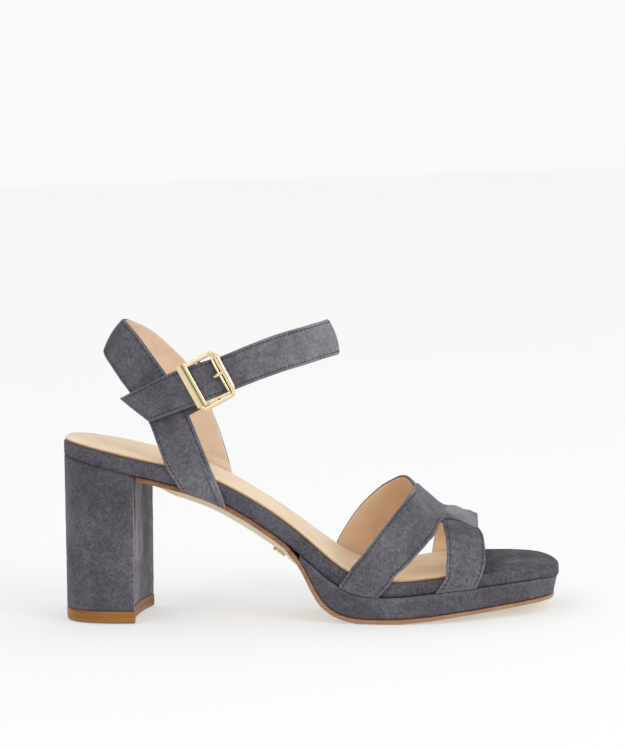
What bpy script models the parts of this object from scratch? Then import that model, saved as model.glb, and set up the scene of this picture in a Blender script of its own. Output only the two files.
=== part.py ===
"""Block heel sandal, right foot: platform forefoot, crossed vamp straps, heel band and buckled ankle strap.

The working frame is the shoe's own, in millimetres: x from the back of the seat to the toe, y from the
outer side (minus) to the inner side (plus), z up from the floor. An empty puts the centre of the
footprint at the world's origin, in metres.
"""

import math

import bmesh
import bpy
import numpy as np
from mathutils import Vector

# ---- driving sizes, mm ------------------------------------------------------------------------
MM = 0.001
CENTRE_X, CENTRE_Y = 114.65, 2.045  # middle of the footprint, in the shoe's frame
GAP = 0.3  # between neighbouring pieces
WALL = 1.8  # suede strap with its lining
RAND = 8.6  # covered insole board, measured square to its top
SOCK = 0.7  # cream insole sock
SOLE = 2.1  # outsole
BELLY = 5.8  # swell of the outsole's underside in the waist
HEEL_TIP = 5.7
SEAT_END = 36.5  # where the heel's breast meets the waist
STRAP_LIFT = 1.55  # upper vamp strap over the lower one
WIRE = 0.95  # radius of the buckle's wire
BUCKLE_AT = (73.4, -31.0, 113.2)
BUCKLE_TURN = 27.0  # degrees the buckle leans back from upright
BUCKLE_HALF = (7.6, 10.9)  # half width along the strap, half height across it

# ---- tables -------------------------------------------------------------------------------------
# footbed outline: x, outer side y, inner side y
OUTLINE = [
    (0.0, -3.0, 7.0),
    (0.7, -7.5, 11.0),
    (2.5, -12.5, 15.5),
    (6.0, -17.5, 20.5),
    (12.0, -22.0, 25.0),
    (20.0, -25.0, 28.0),
    (30.0, -26.6, 29.6),
    (40.0, -27.0, 29.2),
    (50.0, -26.8, 27.0),
    (60.0, -26.2, 23.0),
    (70.0, -25.3, 16.8),
    (80.0, -24.6, 12.6),
    (90.0, -24.3, 10.8),
    (100.0, -24.7, 10.5),
    (110.0, -26.2, 11.6),
    (120.0, -28.8, 14.2),
    (130.0, -31.9, 19.0),
    (140.0, -34.7, 25.6),
    (150.0, -36.7, 32.8),
    (160.0, -37.7, 38.0),
    (170.0, -37.6, 41.2),
    (180.0, -36.2, 42.2),
    (190.0, -33.4, 41.0),
    (200.0, -29.8, 38.6),
    (210.0, -25.2, 35.2),
    (218.0, -20.4, 31.2),
    (224.0, -15.4, 26.8),
    (228.0, -10.0, 21.8),
    (230.4, -3.6, 15.6),
    (231.0, 1.0, 11.6),
]
# top of the footbed: x, z
FOOTBED = [
    (0.0, 86.6),
    (5.0, 85.6),
    (10.0, 84.5),
    (16.6, 82.9),
    (23.4, 81.3),
    (36.7, 77.9),
    (50.4, 74.6),
    (62.4, 71.1),
    (74.9, 66.2),
    (84.7, 60.9),
    (96.3, 53.5),
    (107.9, 45.1),
    (119.6, 35.4),
    (127.0, 29.2),
    (134.0, 24.3),
    (141.0, 21.3),
    (150.0, 19.9),
    (160.0, 19.8),
    (170.0, 20.6),
    (180.0, 21.5),
    (190.0, 22.0),
    (200.0, 22.3),
    (212.0, 22.6),
    (222.0, 22.3),
    (231.0, 20.6),
]
# thickness of the covered board: x, factor on RAND
BOARD = [(0.0, 0.95), (30.0, 0.98), (100.0, 1.0), (140.0, 0.95), (160.0, 0.88), (200.0, 0.82), (218.0, 0.76), (231.0, 0.62)]
# top of the outsole from the waist to the toe: x, z
OUTSOLE = [
    (106.0, 35.2),
    (108.3, 32.4),
    (111.0, 29.0),
    (114.0, 24.0),
    (117.5, 17.0),
    (121.0, 10.9),
    (124.8, 6.9),
    (129.2, 4.3),
    (134.6, 2.7),
    (140.0, 2.15),
    (148.0, 2.1),
    (156.0, 2.15),
    (169.0, 2.95),
    (181.0, 4.05),
    (194.0, 5.15),
    (210.0, 6.25),
    (222.0, 6.7),
    (231.0, 6.75),
]
# how far platform and outsole stand out from the footbed's outline: x, mm
STAND_OUT = [(36.0, 0.2), (104.0, 0.3), (118.0, 1.4), (128.0, 2.2), (195.0, 2.2), (207.0, 1.4), (222.0, 0.4), (231.0, 0.2)]
# crown of the last over the vamp: x, z
CROWN = [
    (118.0, 79.0),
    (130.0, 75.0),
    (140.0, 70.7),
    (150.0, 66.6),
    (161.0, 60.6),
    (166.0, 54.8),
    (171.0, 50.8),
    (177.0, 44.7),
    (184.0, 43.4),
    (192.0, 41.8),
    (200.0, 37.6),
]
# crossed vamp straps on the last, by x and by the angle round it from the outer feather line.
# Below 0 and above 180 the strap runs down the side of the footbed, and 7 more reaches the board's underside.
# upper strap, from the outer side's rear to the inner side's front: rear edge x, angle, front edge x, angle
STRAP_A = [
    (129.5, -7.0, 148.0, -7.0),
    (134.5, 0.0, 154.3, 0.0),
    (139.2, 5.0, 160.9, 5.0),
    (143.0, 10.0, 164.6, 10.0),
    (149.0, 20.0, 169.5, 20.0),
    (154.0, 30.0, 172.6, 30.0),
    (158.0, 40.0, 174.7, 40.0),
    (160.8, 49.0, 176.2, 50.0),
    (161.9, 59.0, 177.8, 60.0),
    (162.3, 71.0, 179.9, 62.5),
    (162.5, 84.0, 183.6, 57.0),
    (163.8, 97.0, 188.0, 52.5),
    (165.8, 108.0, 191.8, 50.5),
    (168.0, 118.0, 194.3, 53.0),
    (169.7, 126.0, 194.6, 71.0),
    (170.9, 133.0, 194.0, 90.0),
    (171.7, 140.0, 193.5, 110.0),
    (172.2, 147.0, 193.1, 130.0),
    (172.2, 155.0, 193.0, 148.0),
    (171.4, 166.0, 192.3, 163.0),
    (169.8, 180.0, 190.7, 179.0),
    (168.6, 187.0, 189.0, 187.0),
]
# lower strap, from the outer side's front to the inner side's rear: angle, rear edge x, front edge x
STRAP_B = [
    (-7.0, 174.3, 192.9),
    (0.0, 179.0, 196.0),
    (8.5, 179.7, 197.3),
    (20.0, 180.0, 197.5),
    (32.0, 179.7, 197.4),
    (42.0, 179.4, 197.0),
    (53.0, 178.6, 196.0),
    (66.0, 177.4, 191.8),
    (80.0, 171.0, 187.0),
    (95.0, 164.6, 182.6),
    (110.0, 159.8, 178.8),
    (125.0, 153.4, 174.4),
    (137.5, 146.2, 168.2),
    (150.0, 138.8, 161.8),
    (165.0, 131.4, 154.2),
    (180.0, 125.4, 148.0),
    (187.0, 123.0, 145.2),
]
# heel band, outer half from its foot to the middle of the back: rear edge x, y, z, front edge x, y, z
BAND_OUTER = [
    (57.5, -28.6, 62.6, 78.4, -26.8, 53.3),
    (55.3, -28.4, 66.2, 76.6, -27.0, 59.4),
    (51.3, -27.2, 73.6, 72.3, -26.8, 71.6),
    (47.4, -24.2, 83.5, 67.3, -25.6, 85.0),
    (43.6, -20.8, 93.3, 62.4, -24.0, 97.1),
    (39.0, -18.0, 100.8, 57.5, -22.6, 107.0),
    (34.0, -15.0, 107.6, 52.2, -20.4, 115.8),
    (29.6, -11.8, 113.0, 46.0, -16.8, 124.0),
    (25.2, -7.5, 118.8, 39.5, -11.5, 132.2),
    (22.2, -3.8, 122.6, 34.0, -5.8, 137.8),
]
BAND_BACK = (21.2, 0.0, 124.6, 31.4, 0.0, 139.9)
# inner half, from the middle of the back to its foot
BAND_INNER = [
    (22.2, 3.8, 122.6, 34.2, 5.8, 138.6),
    (25.8, 7.5, 118.8, 42.2, 11.5, 133.6),
    (31.0, 11.8, 113.0, 50.0, 16.4, 125.6),
    (36.2, 15.0, 107.4, 57.2, 19.2, 117.2),
    (42.0, 18.0, 100.4, 63.2, 20.8, 107.6),
    (47.2, 20.8, 92.3, 67.4, 21.4, 96.1),
    (51.4, 23.6, 82.5, 71.8, 20.6, 83.4),
    (55.0, 25.8, 73.0, 75.4, 18.6, 70.2),
    (58.0, 25.2, 65.6, 78.4, 16.2, 58.6),
    (59.6, 24.6, 61.8, 80.2, 14.8, 52.2),
]
# ankle strap from its tip, through the buckle, round the front and back to the inner side:
# lower edge x, y, z, upper edge x, y, z
ANKLE = [
    (44.1, -25.0, 94.1, 29.7, -18.6, 104.8),
    (47.5, -25.7, 95.2, 35.9, -20.7, 108.0),
    (52.5, -26.9, 97.0, 44.0, -23.5, 111.8),
    (58.5, -28.2, 99.1, 51.0, -25.9, 115.1),
    (65.0, -29.1, 101.3, 58.0, -28.3, 118.0),
    (72.0, -29.8, 103.8, 65.5, -29.4, 120.3),
    (79.0, -29.6, 106.3, 72.5, -29.4, 122.3),
    (86.2, -28.6, 108.8, 79.8, -28.4, 124.3),
    (96.6, -25.8, 112.4, 91.4, -25.4, 128.6),
    (108.0, -21.8, 115.8, 104.2, -21.3, 132.8),
    (118.6, -16.8, 118.4, 116.0, -16.2, 135.6),
    (124.6, -13.0, 120.0, 121.2, -12.4, 136.8),
    (129.2, -8.8, 121.0, 124.8, -8.4, 137.6),
    (131.4, -3.4, 121.3, 126.6, -3.2, 138.0),
    (130.6, 2.6, 120.4, 125.6, 2.6, 137.0),
    (126.6, 7.6, 118.4, 121.8, 7.4, 135.2),
    (118.0, 12.4, 115.4, 114.0, 12.0, 132.2),
    (106.0, 16.8, 112.2, 102.4, 16.4, 128.6),
    (93.0, 20.4, 108.2, 89.4, 20.0, 123.4),
    (80.0, 23.4, 103.8, 76.0, 22.9, 117.8),
    (69.0, 25.0, 99.4, 64.4, 24.3, 112.9),
    (60.0, 26.0, 95.4, 54.4, 24.2, 109.0),
    (51.5, 26.4, 91.4, 46.0, 23.2, 105.8),
]


def curve_of(rows, column, at=0):
    """A smooth function through one column of a table against another."""
    x = np.array([row[at] for row in rows], float)
    y = np.array([row[column] for row in rows], float)
    step = np.diff(x)
    slope = np.diff(y) / step
    tangent = np.empty_like(y)
    tangent[1:-1] = (slope[:-1] * step[1:] + slope[1:] * step[:-1]) / (step[:-1] + step[1:])
    tangent[0], tangent[-1] = slope[0], slope[-1]

    def value(q):
        q = np.asarray(q, float)
        i = np.clip(np.searchsorted(x, q) - 1, 0, len(x) - 2)
        h = x[i + 1] - x[i]
        t = (q - x[i]) / h
        inside = (
            (2 * t**3 - 3 * t**2 + 1) * y[i]
            + (t**3 - 2 * t**2 + t) * h * tangent[i]
            + (3 * t**2 - 2 * t**3) * y[i + 1]
            + (t**3 - t**2) * h * tangent[i + 1]
        )
        inside = np.where(q < x[0], y[0] + tangent[0] * (q - x[0]), inside)
        return np.where(q > x[-1], y[-1] + tangent[-1] * (q - x[-1]), inside)

    return value


outer = curve_of(OUTLINE, 1)
inner = curve_of(OUTLINE, 2)
footbed_top = curve_of(FOOTBED, 1)
board = curve_of(BOARD, 1)
sole_forepart = curve_of(OUTSOLE, 1)
stand_out = curve_of(STAND_OUT, 1)
crown = curve_of(CROWN, 1)


def slope_factor(function, x):
    """Vertical size of a unit measured square to the profile."""
    rise = (function(x + 0.5) - function(x - 0.5)) / 1.0
    return np.sqrt(1 + rise**2)


def board_under(x):
    return footbed_top(x) - RAND * board(x) * slope_factor(footbed_top, x)


def sole_top(x):
    """Outsole top: under the board in the waist, then down the platform's back and along the floor."""
    waist = board_under(x) - GAP * slope_factor(footbed_top, x)
    k = np.clip((x - 103.0) / 5.0, 0, 1)
    k = k * k * (3 - 2 * k)
    return waist * (1 - k) + sole_forepart(x) * k


def sole_under(x):
    low = sole_top(x) - SOLE * slope_factor(sole_top, x)
    return np.where((x > 115) & (low < 0.22), 0.0, low)


def breast(y):
    """x of the heel's breast under the seat: a shallow hollow between its two corners."""
    t = (y + 26.8) / (26.8 + 29.3)
    return SEAT_END - 0.2 + 2.0 * t - 3.0 * (1 - (2 * t - 1) ** 2)


# ---- building ------------------------------------------------------------------------------------


def mesh_object(name, points, faces, smooth=True):
    """A mesh object from points in mm, in the part's collection and under its empty."""
    mesh = bpy.data.meshes.new(name)
    mesh.from_pydata([tuple(float(c) * MM for c in p) for p in points], [], faces)
    mesh.update()
    if smooth:
        mesh.shade_smooth()
    obj = bpy.data.objects.new(name, mesh)
    parts.objects.link(obj)
    obj.parent = frame
    return obj


def loft(name, rings, smooth=True):
    """A closed solid through rings of equal point counts, capped at both ends."""
    bm = bmesh.new()
    rows = [[bm.verts.new([float(c) * MM for c in p]) for p in ring] for ring in rings]
    n = len(rows[0])
    for a, b in zip(rows, rows[1:]):
        for k in range(n):
            bm.faces.new((a[k], a[(k + 1) % n], b[(k + 1) % n], b[k]))
    bm.faces.new(rows[0][::-1])
    bm.faces.new(rows[-1])
    bmesh.ops.recalc_face_normals(bm, faces=bm.faces)
    mesh = bpy.data.meshes.new(name)
    bm.to_mesh(mesh)
    bm.free()
    if smooth:
        mesh.shade_smooth()
        mesh.set_sharp_from_angle(angle=math.radians(40))
    obj = bpy.data.objects.new(name, mesh)
    parts.objects.link(obj)
    obj.parent = frame
    return obj


def section(x, y0, y1, top, under, edge, across=7, shift=None, belly=0.0):
    """One cross-section of a sole layer, as a ring: its top, chamfered sides and underside."""
    t = np.linspace(0, 1, across)
    ys = y0 + edge + (y1 - y0 - 2 * edge) * t
    ring = [(x, y, top) for y in ys]
    ring += [(x, y1, top - edge), (x, y1, under + edge)]
    for y in ys[::-1]:
        u = 2 * (y - y0) / (y1 - y0) - 1
        ring.append((x, y, under - belly * (1 - u * u)))
    ring += [(x, y0, under + edge), (x, y0, top - edge)]
    if shift is not None:
        ring = [(px + shift(py), py, pz) for px, py, pz in ring]
    return ring


def ribbon(name, grid, wall):
    """A strap: its outer face as an open sheet, thickened inwards. grid[i][j] runs along and across."""
    rows, columns = len(grid), len(grid[0])
    points = [p for row in grid for p in row]
    faces = [
        (i * columns + j, (i + 1) * columns + j, (i + 1) * columns + j + 1, i * columns + j + 1)
        for i in range(rows - 1)
        for j in range(columns - 1)
    ]
    obj = mesh_object(name, points, faces)
    solid = obj.modifiers.new("Wall", "SOLIDIFY")
    solid.thickness = wall * MM
    solid.offset = -1.0
    solid.use_even_offset = True
    return obj


def strap_grid(rows, along, across, bow, push=0.0):
    """Points of a strap between its two edges, pushed outwards and bowed a little more along its middle."""
    index = [(i, *row) for i, row in enumerate(rows)]
    edges = [curve_of(index, c + 1) for c in range(6)]
    grid = []
    for s in np.linspace(0, len(rows) - 1, along):
        low = np.array([float(edges[c](s)) for c in range(3)])
        high = np.array([float(edges[c](s)) for c in range(3, 6)])
        ahead = np.array([float(edges[c](s + 0.05) + edges[c + 3](s + 0.05)) for c in range(3)])
        behind = np.array([float(edges[c](s - 0.05) + edges[c + 3](s - 0.05)) for c in range(3)])
        out = np.cross(ahead - behind, high - low)
        out /= np.linalg.norm(out)
        grid.append([low + (high - low) * t + out * (push + bow * 4 * t * (1 - t)) for t in np.linspace(0, 1, across)])
    return grid


def on_last(x, angle, off):
    """A point on the last over the vamp, pushed out by off. Angle 0 is the outer feather line, 180 the inner one."""
    turn = np.radians(np.clip(angle, 0, 180))
    y0, y1 = outer(x) - off * slope_factor(outer, x), inner(x) + off * slope_factor(inner, x)
    mid, half = (y0 + y1) / 2, (y1 - y0) / 2
    cos, sin = -math.cos(turn), math.sin(turn)
    base = footbed_top(x) - 1.0
    y = mid + half * math.copysign(abs(cos) ** 0.92, cos) + 2.5 * sin
    fullness = 0.84 + 0.10 * cos  # rounder on the outer side
    z = base + (crown(x) - base + off) * max(sin, 0.0) ** fullness
    foot = (max(-angle, 0.0) + max(angle - 180, 0.0)) / 7.0
    z -= foot * (base - board_under(x))
    return np.array([float(x), float(y), float(z)])


def rise(x, angle):
    """How far the upper vamp strap is lifted where it lies over the lower one."""
    rear, front = curve_of(STRAP_B, 1), curve_of(STRAP_B, 2)
    on = float(np.clip((x - (rear(angle) - 7.0)) / 5.0, 0, 1))
    past = float(np.clip((x - (front(angle) + 1.0)) / 5.0, 0, 1))
    return STRAP_LIFT * on * on * (3 - 2 * on) * (1 - past * past * (3 - 2 * past))


def upper_vamp_grid(along, across):
    """Outer face of the vamp strap from the outer side's rear to the inner side's front."""
    index = [(i, *row) for i, row in enumerate(STRAP_A)]
    rear_x, rear_angle, front_x, front_angle = (curve_of(index, c) for c in (1, 2, 3, 4))
    grid = []
    for u in np.linspace(0, len(STRAP_A) - 1, along):
        row = []
        for t in np.linspace(0, 1, across):
            x, angle = front_x(u) + (rear_x(u) - front_x(u)) * t, front_angle(u) + (rear_angle(u) - front_angle(u)) * t
            row.append(on_last(x, angle, GAP + WALL + rise(x, float(np.clip(angle, -7, 187)))))
        grid.append(row)
    return grid


def lower_vamp_grid(along, across):
    """Outer face of the vamp strap from the outer side's front to the inner side's rear."""
    rear, front = curve_of(STRAP_B, 1), curve_of(STRAP_B, 2)
    return [
        [on_last(front(s) + (rear(s) - front(s)) * t, s, GAP + WALL) for t in np.linspace(0, 1, across)]
        for s in np.linspace(STRAP_B[0][0], STRAP_B[-1][0], along)
    ]


def as_mesh(obj):
    """The same shape as a mesh object with its caps welded, in place of a curve or of open modifiers."""
    graph = bpy.context.evaluated_depsgraph_get()
    mesh = bpy.data.meshes.new_from_object(obj.evaluated_get(graph))
    bm = bmesh.new()
    bm.from_mesh(mesh)
    bmesh.ops.remove_doubles(bm, verts=bm.verts, dist=1e-6)
    bmesh.ops.recalc_face_normals(bm, faces=bm.faces)
    bm.to_mesh(mesh)
    bm.free()
    new = bpy.data.objects.new(obj.name + "_mesh", mesh)
    new.matrix_world = obj.matrix_world
    for collection in obj.users_collection:
        collection.objects.link(new)
    name = obj.name
    bpy.data.objects.remove(obj)
    new.name = name
    return new


def wire(name, points, radius, cyclic=False, sides=2):
    """A round wire through points in mm, as a bevelled curve."""
    data = bpy.data.curves.new(name, "CURVE")
    data.dimensions = "3D"
    data.bevel_depth = radius * MM
    data.bevel_resolution = sides
    data.use_fill_caps = not cyclic
    spline = data.splines.new("POLY")
    spline.points.add(len(points) - 1)
    for point, co in zip(spline.points, points):
        point.co = (co[0] * MM, co[1] * MM, co[2] * MM, 1)
    spline.use_cyclic_u = cyclic
    obj = bpy.data.objects.new(name, data)
    parts.objects.link(obj)
    obj.parent = frame
    return obj


def join(obj, other):
    """Boolean union of two mesh objects; the second becomes a hidden tool."""
    joined = obj.modifiers.new("Join " + other.name, "BOOLEAN")
    joined.operation = "UNION"
    joined.solver = "EXACT"
    joined.object = other
    hide(other)


def hide(obj):
    obj.hide_render = True
    obj.display_type = "WIRE"
    for collection in list(obj.users_collection):
        collection.objects.unlink(obj)
    tools.objects.link(obj)


def material(obj, name, colour, roughness, metallic=0.0):
    made = bpy.data.materials.get(name)
    if made is None:
        made = bpy.data.materials.new(name)
        made.use_nodes = True
        shader = made.node_tree.nodes["Principled BSDF"]
        shader.inputs["Base Color"].default_value = (*colour, 1)
        shader.inputs["Roughness"].default_value = roughness
        shader.inputs["Metallic"].default_value = metallic
    obj.data.materials.clear()
    obj.data.materials.append(made)


SUEDE = ("Slate suede", (0.125, 0.12, 0.145), 0.95)
CREAM = ("Cream sock", (0.80, 0.65, 0.45), 0.6)
TAN = ("Tan outsole", (0.45, 0.21, 0.08), 0.55)
STACK = ("Heel top piece", (0.38, 0.16, 0.05), 0.45)
GOLD = ("Pale gold", (0.83, 0.66, 0.38), 0.22, 1.0)


def stations(start, end, rear_round, front_round, step):
    """x positions along a sole layer, close together at rounded ends."""
    middle = list(np.arange(start + rear_round, end - front_round, step))
    rear = [start + rear_round * (1 - math.cos(a)) for a in np.linspace(0, math.pi / 2, 9)[:-1]] if rear_round else []
    front = [end - front_round * (1 - math.sin(a)) for a in np.linspace(0, math.pi / 2, 9)] if front_round else [end]
    return rear + middle + front


def build_sole():
    rings = []
    for x in stations(0.0, 231.0, 14, 14, 4.5):
        top = footbed_top(x) - (SOCK + GAP) * slope_factor(footbed_top, x)
        rings.append(section(x, outer(x), inner(x), top, board_under(x), 0.8))
    material(loft("footbed", rings), *SUEDE)

    rings = []
    for x in stations(1.4, 189.0, 14, 0, 4.5):
        top = footbed_top(x)
        low = top - SOCK * slope_factor(footbed_top, x)
        rings.append(section(x, outer(x) + 0.9, inner(x) - 0.9, top, low, 0.15))
    material(loft("insole_sock", rings), *CREAM)

    rings = []
    for x in stations(111.4, 229.9, 0, 12, 3.5):
        side = stand_out(x)
        reach = x + 0.9 * np.clip((x - 200) / 29.9, 0, 1)
        rings.append(section(x, outer(reach) - side, inner(reach) + side, board_under(x) - GAP * slope_factor(footbed_top, x), sole_top(x) + GAP * slope_factor(sole_top, x), 0.5))
    material(loft("platform", rings), *SUEDE)

    rings = []
    start = SEAT_END + 2.6
    for x in [start, start + 3, start + 7] + stations(start + 11, 228.6, 0, 12, 3.0):
        fade = np.clip(1 - (x - start) / 10, 0, 1)
        side = stand_out(x)
        reach = x + 2.0 * np.clip((x - 200) / 28.6, 0, 1)
        swell = BELLY * np.clip((x - start) / 14, 0.3, 1) * np.clip((118 - x) / 12, 0, 1)

        def shift(y, fade=fade):
            return fade * (breast(y) + GAP + 0.2 - start)

        rings.append(
            section(x, outer(reach) - side, inner(reach) + side, sole_top(x), sole_under(x), 0.35, shift=shift, belly=swell)
        )
    material(loft("outsole", rings), *TAN)


def heel_ring(h, inset=0.0):
    """Plan of the heel at height share h: two corners, a hollow breast and the seat's round back."""
    near, far = 34.2 + 2.0 * h, 36.8 + 1.4 * h
    back = -1.7 + 1.7 * h + inset
    outer_scale, inner_scale = 0.905 + 0.095 * h, 0.87 + 0.13 * h
    ring = []
    for t in np.linspace(0, 1, 9):
        y = -26.9 * outer_scale * (1 - t) + 29.4 * inner_scale * t
        x = near * (1 - t) + far * t - 3.0 * (1 - (2 * t - 1) ** 2)
        ring.append((x - inset, y + inset * (1 - 2 * t)))
    arc = [36.0 * (1 - math.sin(a)) for a in np.linspace(0, math.pi / 2, 13)]
    for x in arc[1:]:
        ring.append((back + x / 36.5 * (far - back - inset), (inner(x) - inset) * inner_scale))
    for x in arc[::-1][:-1]:
        ring.append((back + x / 36.5 * (near - back - inset), (outer(x) + inset) * outer_scale))
    return ring


def build_heel():
    rings = []
    for h in np.linspace(0, 1, 9):
        ring = []
        for x, y in heel_ring(h):
            top = float(board_under(x) - GAP)
            low = HEEL_TIP + GAP
            ring.append((x, y, low + (top - low) * h))
        rings.append(ring)
    material(loft("heel", rings), *SUEDE)
    rings = []
    for z, inset in ((0.0, 1.3), (0.5, 0.6), (1.6, 0.1), (HEEL_TIP, 0.0)):
        rings.append([(x, y, z) for x, y in heel_ring(0.0, inset)])
    material(loft("heel_tip", rings), *STACK)


def build_vamp():
    over = as_mesh(ribbon("vamp_straps", upper_vamp_grid(64, 9), WALL))
    under = as_mesh(ribbon("vamp_under_strap", lower_vamp_grid(46, 6), WALL))
    join(over, under)
    material(over, *SUEDE)


def clear_of_board(grid):
    """Moves the foot of the heel band just outside the covered board."""
    out = []
    for row in grid:
        moved = []
        for p in row:
            x, y, z = p
            near = np.clip((footbed_top(x) + 3.0 - z) / 5.0, 0, 1)
            if y < 0:
                y = y * (1 - near) + (float(outer(x)) - (GAP + WALL + 0.1) * float(slope_factor(outer, x))) * near
            else:
                y = y * (1 - near) + (float(inner(x)) + (GAP + WALL + 0.1) * float(slope_factor(inner, x))) * near
            moved.append(np.array([x, y, z]))
        out.append(moved)
    return out


def build_band():
    rows = [row[3:] + row[:3] for row in BAND_OUTER + [BAND_BACK] + BAND_INNER]
    grid = clear_of_board(strap_grid(rows, 61, 5, 0.35, 1.2))
    material(ribbon("heel_band", grid, WALL), *SUEDE)


def build_ankle_strap():
    strap = ribbon("ankle_strap", strap_grid(ANKLE, 67, 5, 0.3), WALL)
    solid = as_mesh(strap)
    punch = cylinder("prong_hole", local(1.9, 0.4, -12), local(1.9, 0.4, 6), 1.7, 16)
    hide(punch)
    cut = solid.modifiers.new("Prong hole", "BOOLEAN")
    cut.operation = "DIFFERENCE"
    cut.solver = "EXACT"
    cut.object = punch
    material(solid, *SUEDE)


def cylinder(name, start, end, radius, sides):
    start, end = Vector(start), Vector(end)
    bm = bmesh.new()
    bmesh.ops.create_cone(
        bm, cap_ends=True, segments=sides, radius1=radius * MM, radius2=radius * MM, depth=(end - start).length * MM
    )
    mesh = bpy.data.meshes.new(name)
    bm.to_mesh(mesh)
    bm.free()
    obj = bpy.data.objects.new(name, mesh)
    parts.objects.link(obj)
    obj.parent = frame
    obj.location = (start + end) / 2 * MM
    obj.rotation_mode = "QUATERNION"
    obj.rotation_quaternion = (end - start).to_track_quat("Z", "Y")
    return obj


def box(name, centre, size, turn):
    bm = bmesh.new()
    bmesh.ops.create_cube(bm, size=1.0)
    bmesh.ops.scale(bm, vec=[s * MM for s in size], verts=bm.verts)
    mesh = bpy.data.meshes.new(name)
    bm.to_mesh(mesh)
    bm.free()
    obj = bpy.data.objects.new(name, mesh)
    parts.objects.link(obj)
    obj.parent = frame
    obj.location = Vector(centre) * MM
    obj.rotation_euler = (0, math.radians(-turn), 0)
    return obj


def local(u, v, w):
    """A point from the buckle's own frame: u along the strap, v across it, w outwards."""
    a = math.radians(BUCKLE_TURN)
    return (
        BUCKLE_AT[0] + u * math.cos(a) - v * math.sin(a),
        BUCKLE_AT[1] - w,
        BUCKLE_AT[2] + u * math.sin(a) + v * math.cos(a),
    )


def build_buckle():
    hu, hv = BUCKLE_HALF
    corner = 2.6
    path = []
    for cu, cv, start in ((hu - corner, hv - corner, 0), (-hu - 0.6, hv - 0.8, 90), (-hu - 0.6, -hv + 0.8, 180), (hu - corner, -hv + corner, 270)):
        r = corner if cu > 0 else 0.8
        for a in np.linspace(0, 90, 5 if cu > 0 else 3):
            angle = math.radians(start + a)
            path.append(local(cu + r * math.cos(angle), cv + r * math.sin(angle), 0))
    frame_wire = as_mesh(wire("buckle_frame", path, WIRE, cyclic=True))
    bar = box("buckle_flat_bar", local(-hu - 1.3, 0, 0.25), (3.5, 1.5, 2 * hv + 0.4), BUCKLE_TURN)
    join(frame_wire, bar)
    posts = []
    for sign in (-1, 1):
        posts.append(local(-0.6, sign * hv, 0))
    post_path = [posts[0], local(-0.6, -hv, -2.6), local(-0.6, -hv + 1.0, -4.3), local(-0.6, hv - 1.0, -4.3), local(-0.6, hv, -2.6), posts[1]]
    centre = as_mesh(wire("buckle_centre_bar", post_path, 0.7))
    join(frame_wire, centre)
    material(frame_wire, *GOLD)

    prong = wire(
        "buckle_prong",
        [local(0.95, 0.4, -4.3), local(1.5, 0.4, -3.0), local(2.0, 0.4, -0.9), local(3.2, 0.4, 1.2), local(5.2, 0.4, 2.1), local(hu + 0.6, 0.4, 2.0), local(hu + 1.7, 0.4, 1.5)],
        0.65,
    )
    material(prong, *GOLD)


def build_tab():
    """The short tab that holds the buckle's centre bar, lying on the heel band."""
    rings = []
    for u, w_in, w_out in ((-15.5, -6.35, -5.35), (-11.0, -6.3, -5.3), (-7.0, -6.25, -5.25), (-4.0, -6.2, -5.2), (-2.2, -6.1, -5.1)):
        lower, upper = -9.8, 7.4
        ring = [local(u, v, w_out) for v in np.linspace(lower, upper, 5)]
        ring += [local(u, v, w_in) for v in np.linspace(upper, lower, 5)]
        rings.append(ring)
    material(loft("buckle_tab", rings), *SUEDE)


def build_stud():
    x, y = 101.5, -13.0
    side = float(stand_out(x))
    left, right = float(outer(x)) - side, float(inner(x)) + side
    share = 2 * (y - left) / (right - left) - 1
    z = float(sole_under(x)) - BELLY * (1 - share**2)
    rise = float(sole_under(x + 1) - sole_under(x - 1)) / 2
    away = Vector((rise, -BELLY * 4 * share / (left - right), -1)).normalized()
    low = Vector((x, y, z)) + away * GAP
    stud = cylinder("waist_stud", low, low + away * 1.0, 3.4, 28)
    edge = stud.modifiers.new("Edge", "BEVEL")
    edge.width = 0.25 * MM
    edge.segments = 1
    edge.limit_method = "ANGLE"
    material(stud, *GOLD)


for old in list(bpy.data.objects):
    bpy.data.objects.remove(old)
parts = bpy.data.collections.new("block_heel_sandal")
tools = bpy.data.collections.new("cutters")
bpy.context.scene.collection.children.link(parts)
bpy.context.scene.collection.children.link(tools)
frame = bpy.data.objects.new("shoe_frame", None)
frame.location = (-CENTRE_X * MM, -CENTRE_Y * MM, 0)
parts.objects.link(frame)
bpy.context.view_layer.update()

build_sole()
build_heel()
build_vamp()
build_band()
build_ankle_strap()
build_buckle()
build_tab()
build_stud()
bpy.context.view_layer.update()
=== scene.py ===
"""Look of the block heel sandal: suede straps with linings and stitches, covered board, heel and platform.

Lengths in the tables and functions are millimetres in the shoe's own frame: x from the back of the seat to
the toe, y from the outer side (minus) to the inner side (plus), z up from the floor.
"""

import math

import bpy
import numpy as np
from mathutils import Matrix, Vector


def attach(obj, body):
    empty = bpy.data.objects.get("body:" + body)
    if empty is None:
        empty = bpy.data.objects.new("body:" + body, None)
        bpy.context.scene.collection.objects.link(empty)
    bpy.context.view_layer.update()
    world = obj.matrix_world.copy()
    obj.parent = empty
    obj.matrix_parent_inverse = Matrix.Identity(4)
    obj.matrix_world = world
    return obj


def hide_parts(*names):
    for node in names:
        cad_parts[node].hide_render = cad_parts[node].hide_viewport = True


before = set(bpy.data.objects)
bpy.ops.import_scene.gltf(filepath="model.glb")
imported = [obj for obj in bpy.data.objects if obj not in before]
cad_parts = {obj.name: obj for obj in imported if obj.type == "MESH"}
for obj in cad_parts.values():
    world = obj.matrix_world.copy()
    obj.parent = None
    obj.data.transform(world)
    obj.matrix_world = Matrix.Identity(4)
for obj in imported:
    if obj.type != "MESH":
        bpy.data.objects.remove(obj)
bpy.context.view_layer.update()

CENTRE_X, CENTRE_Y = 114.65, 2.045
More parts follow.
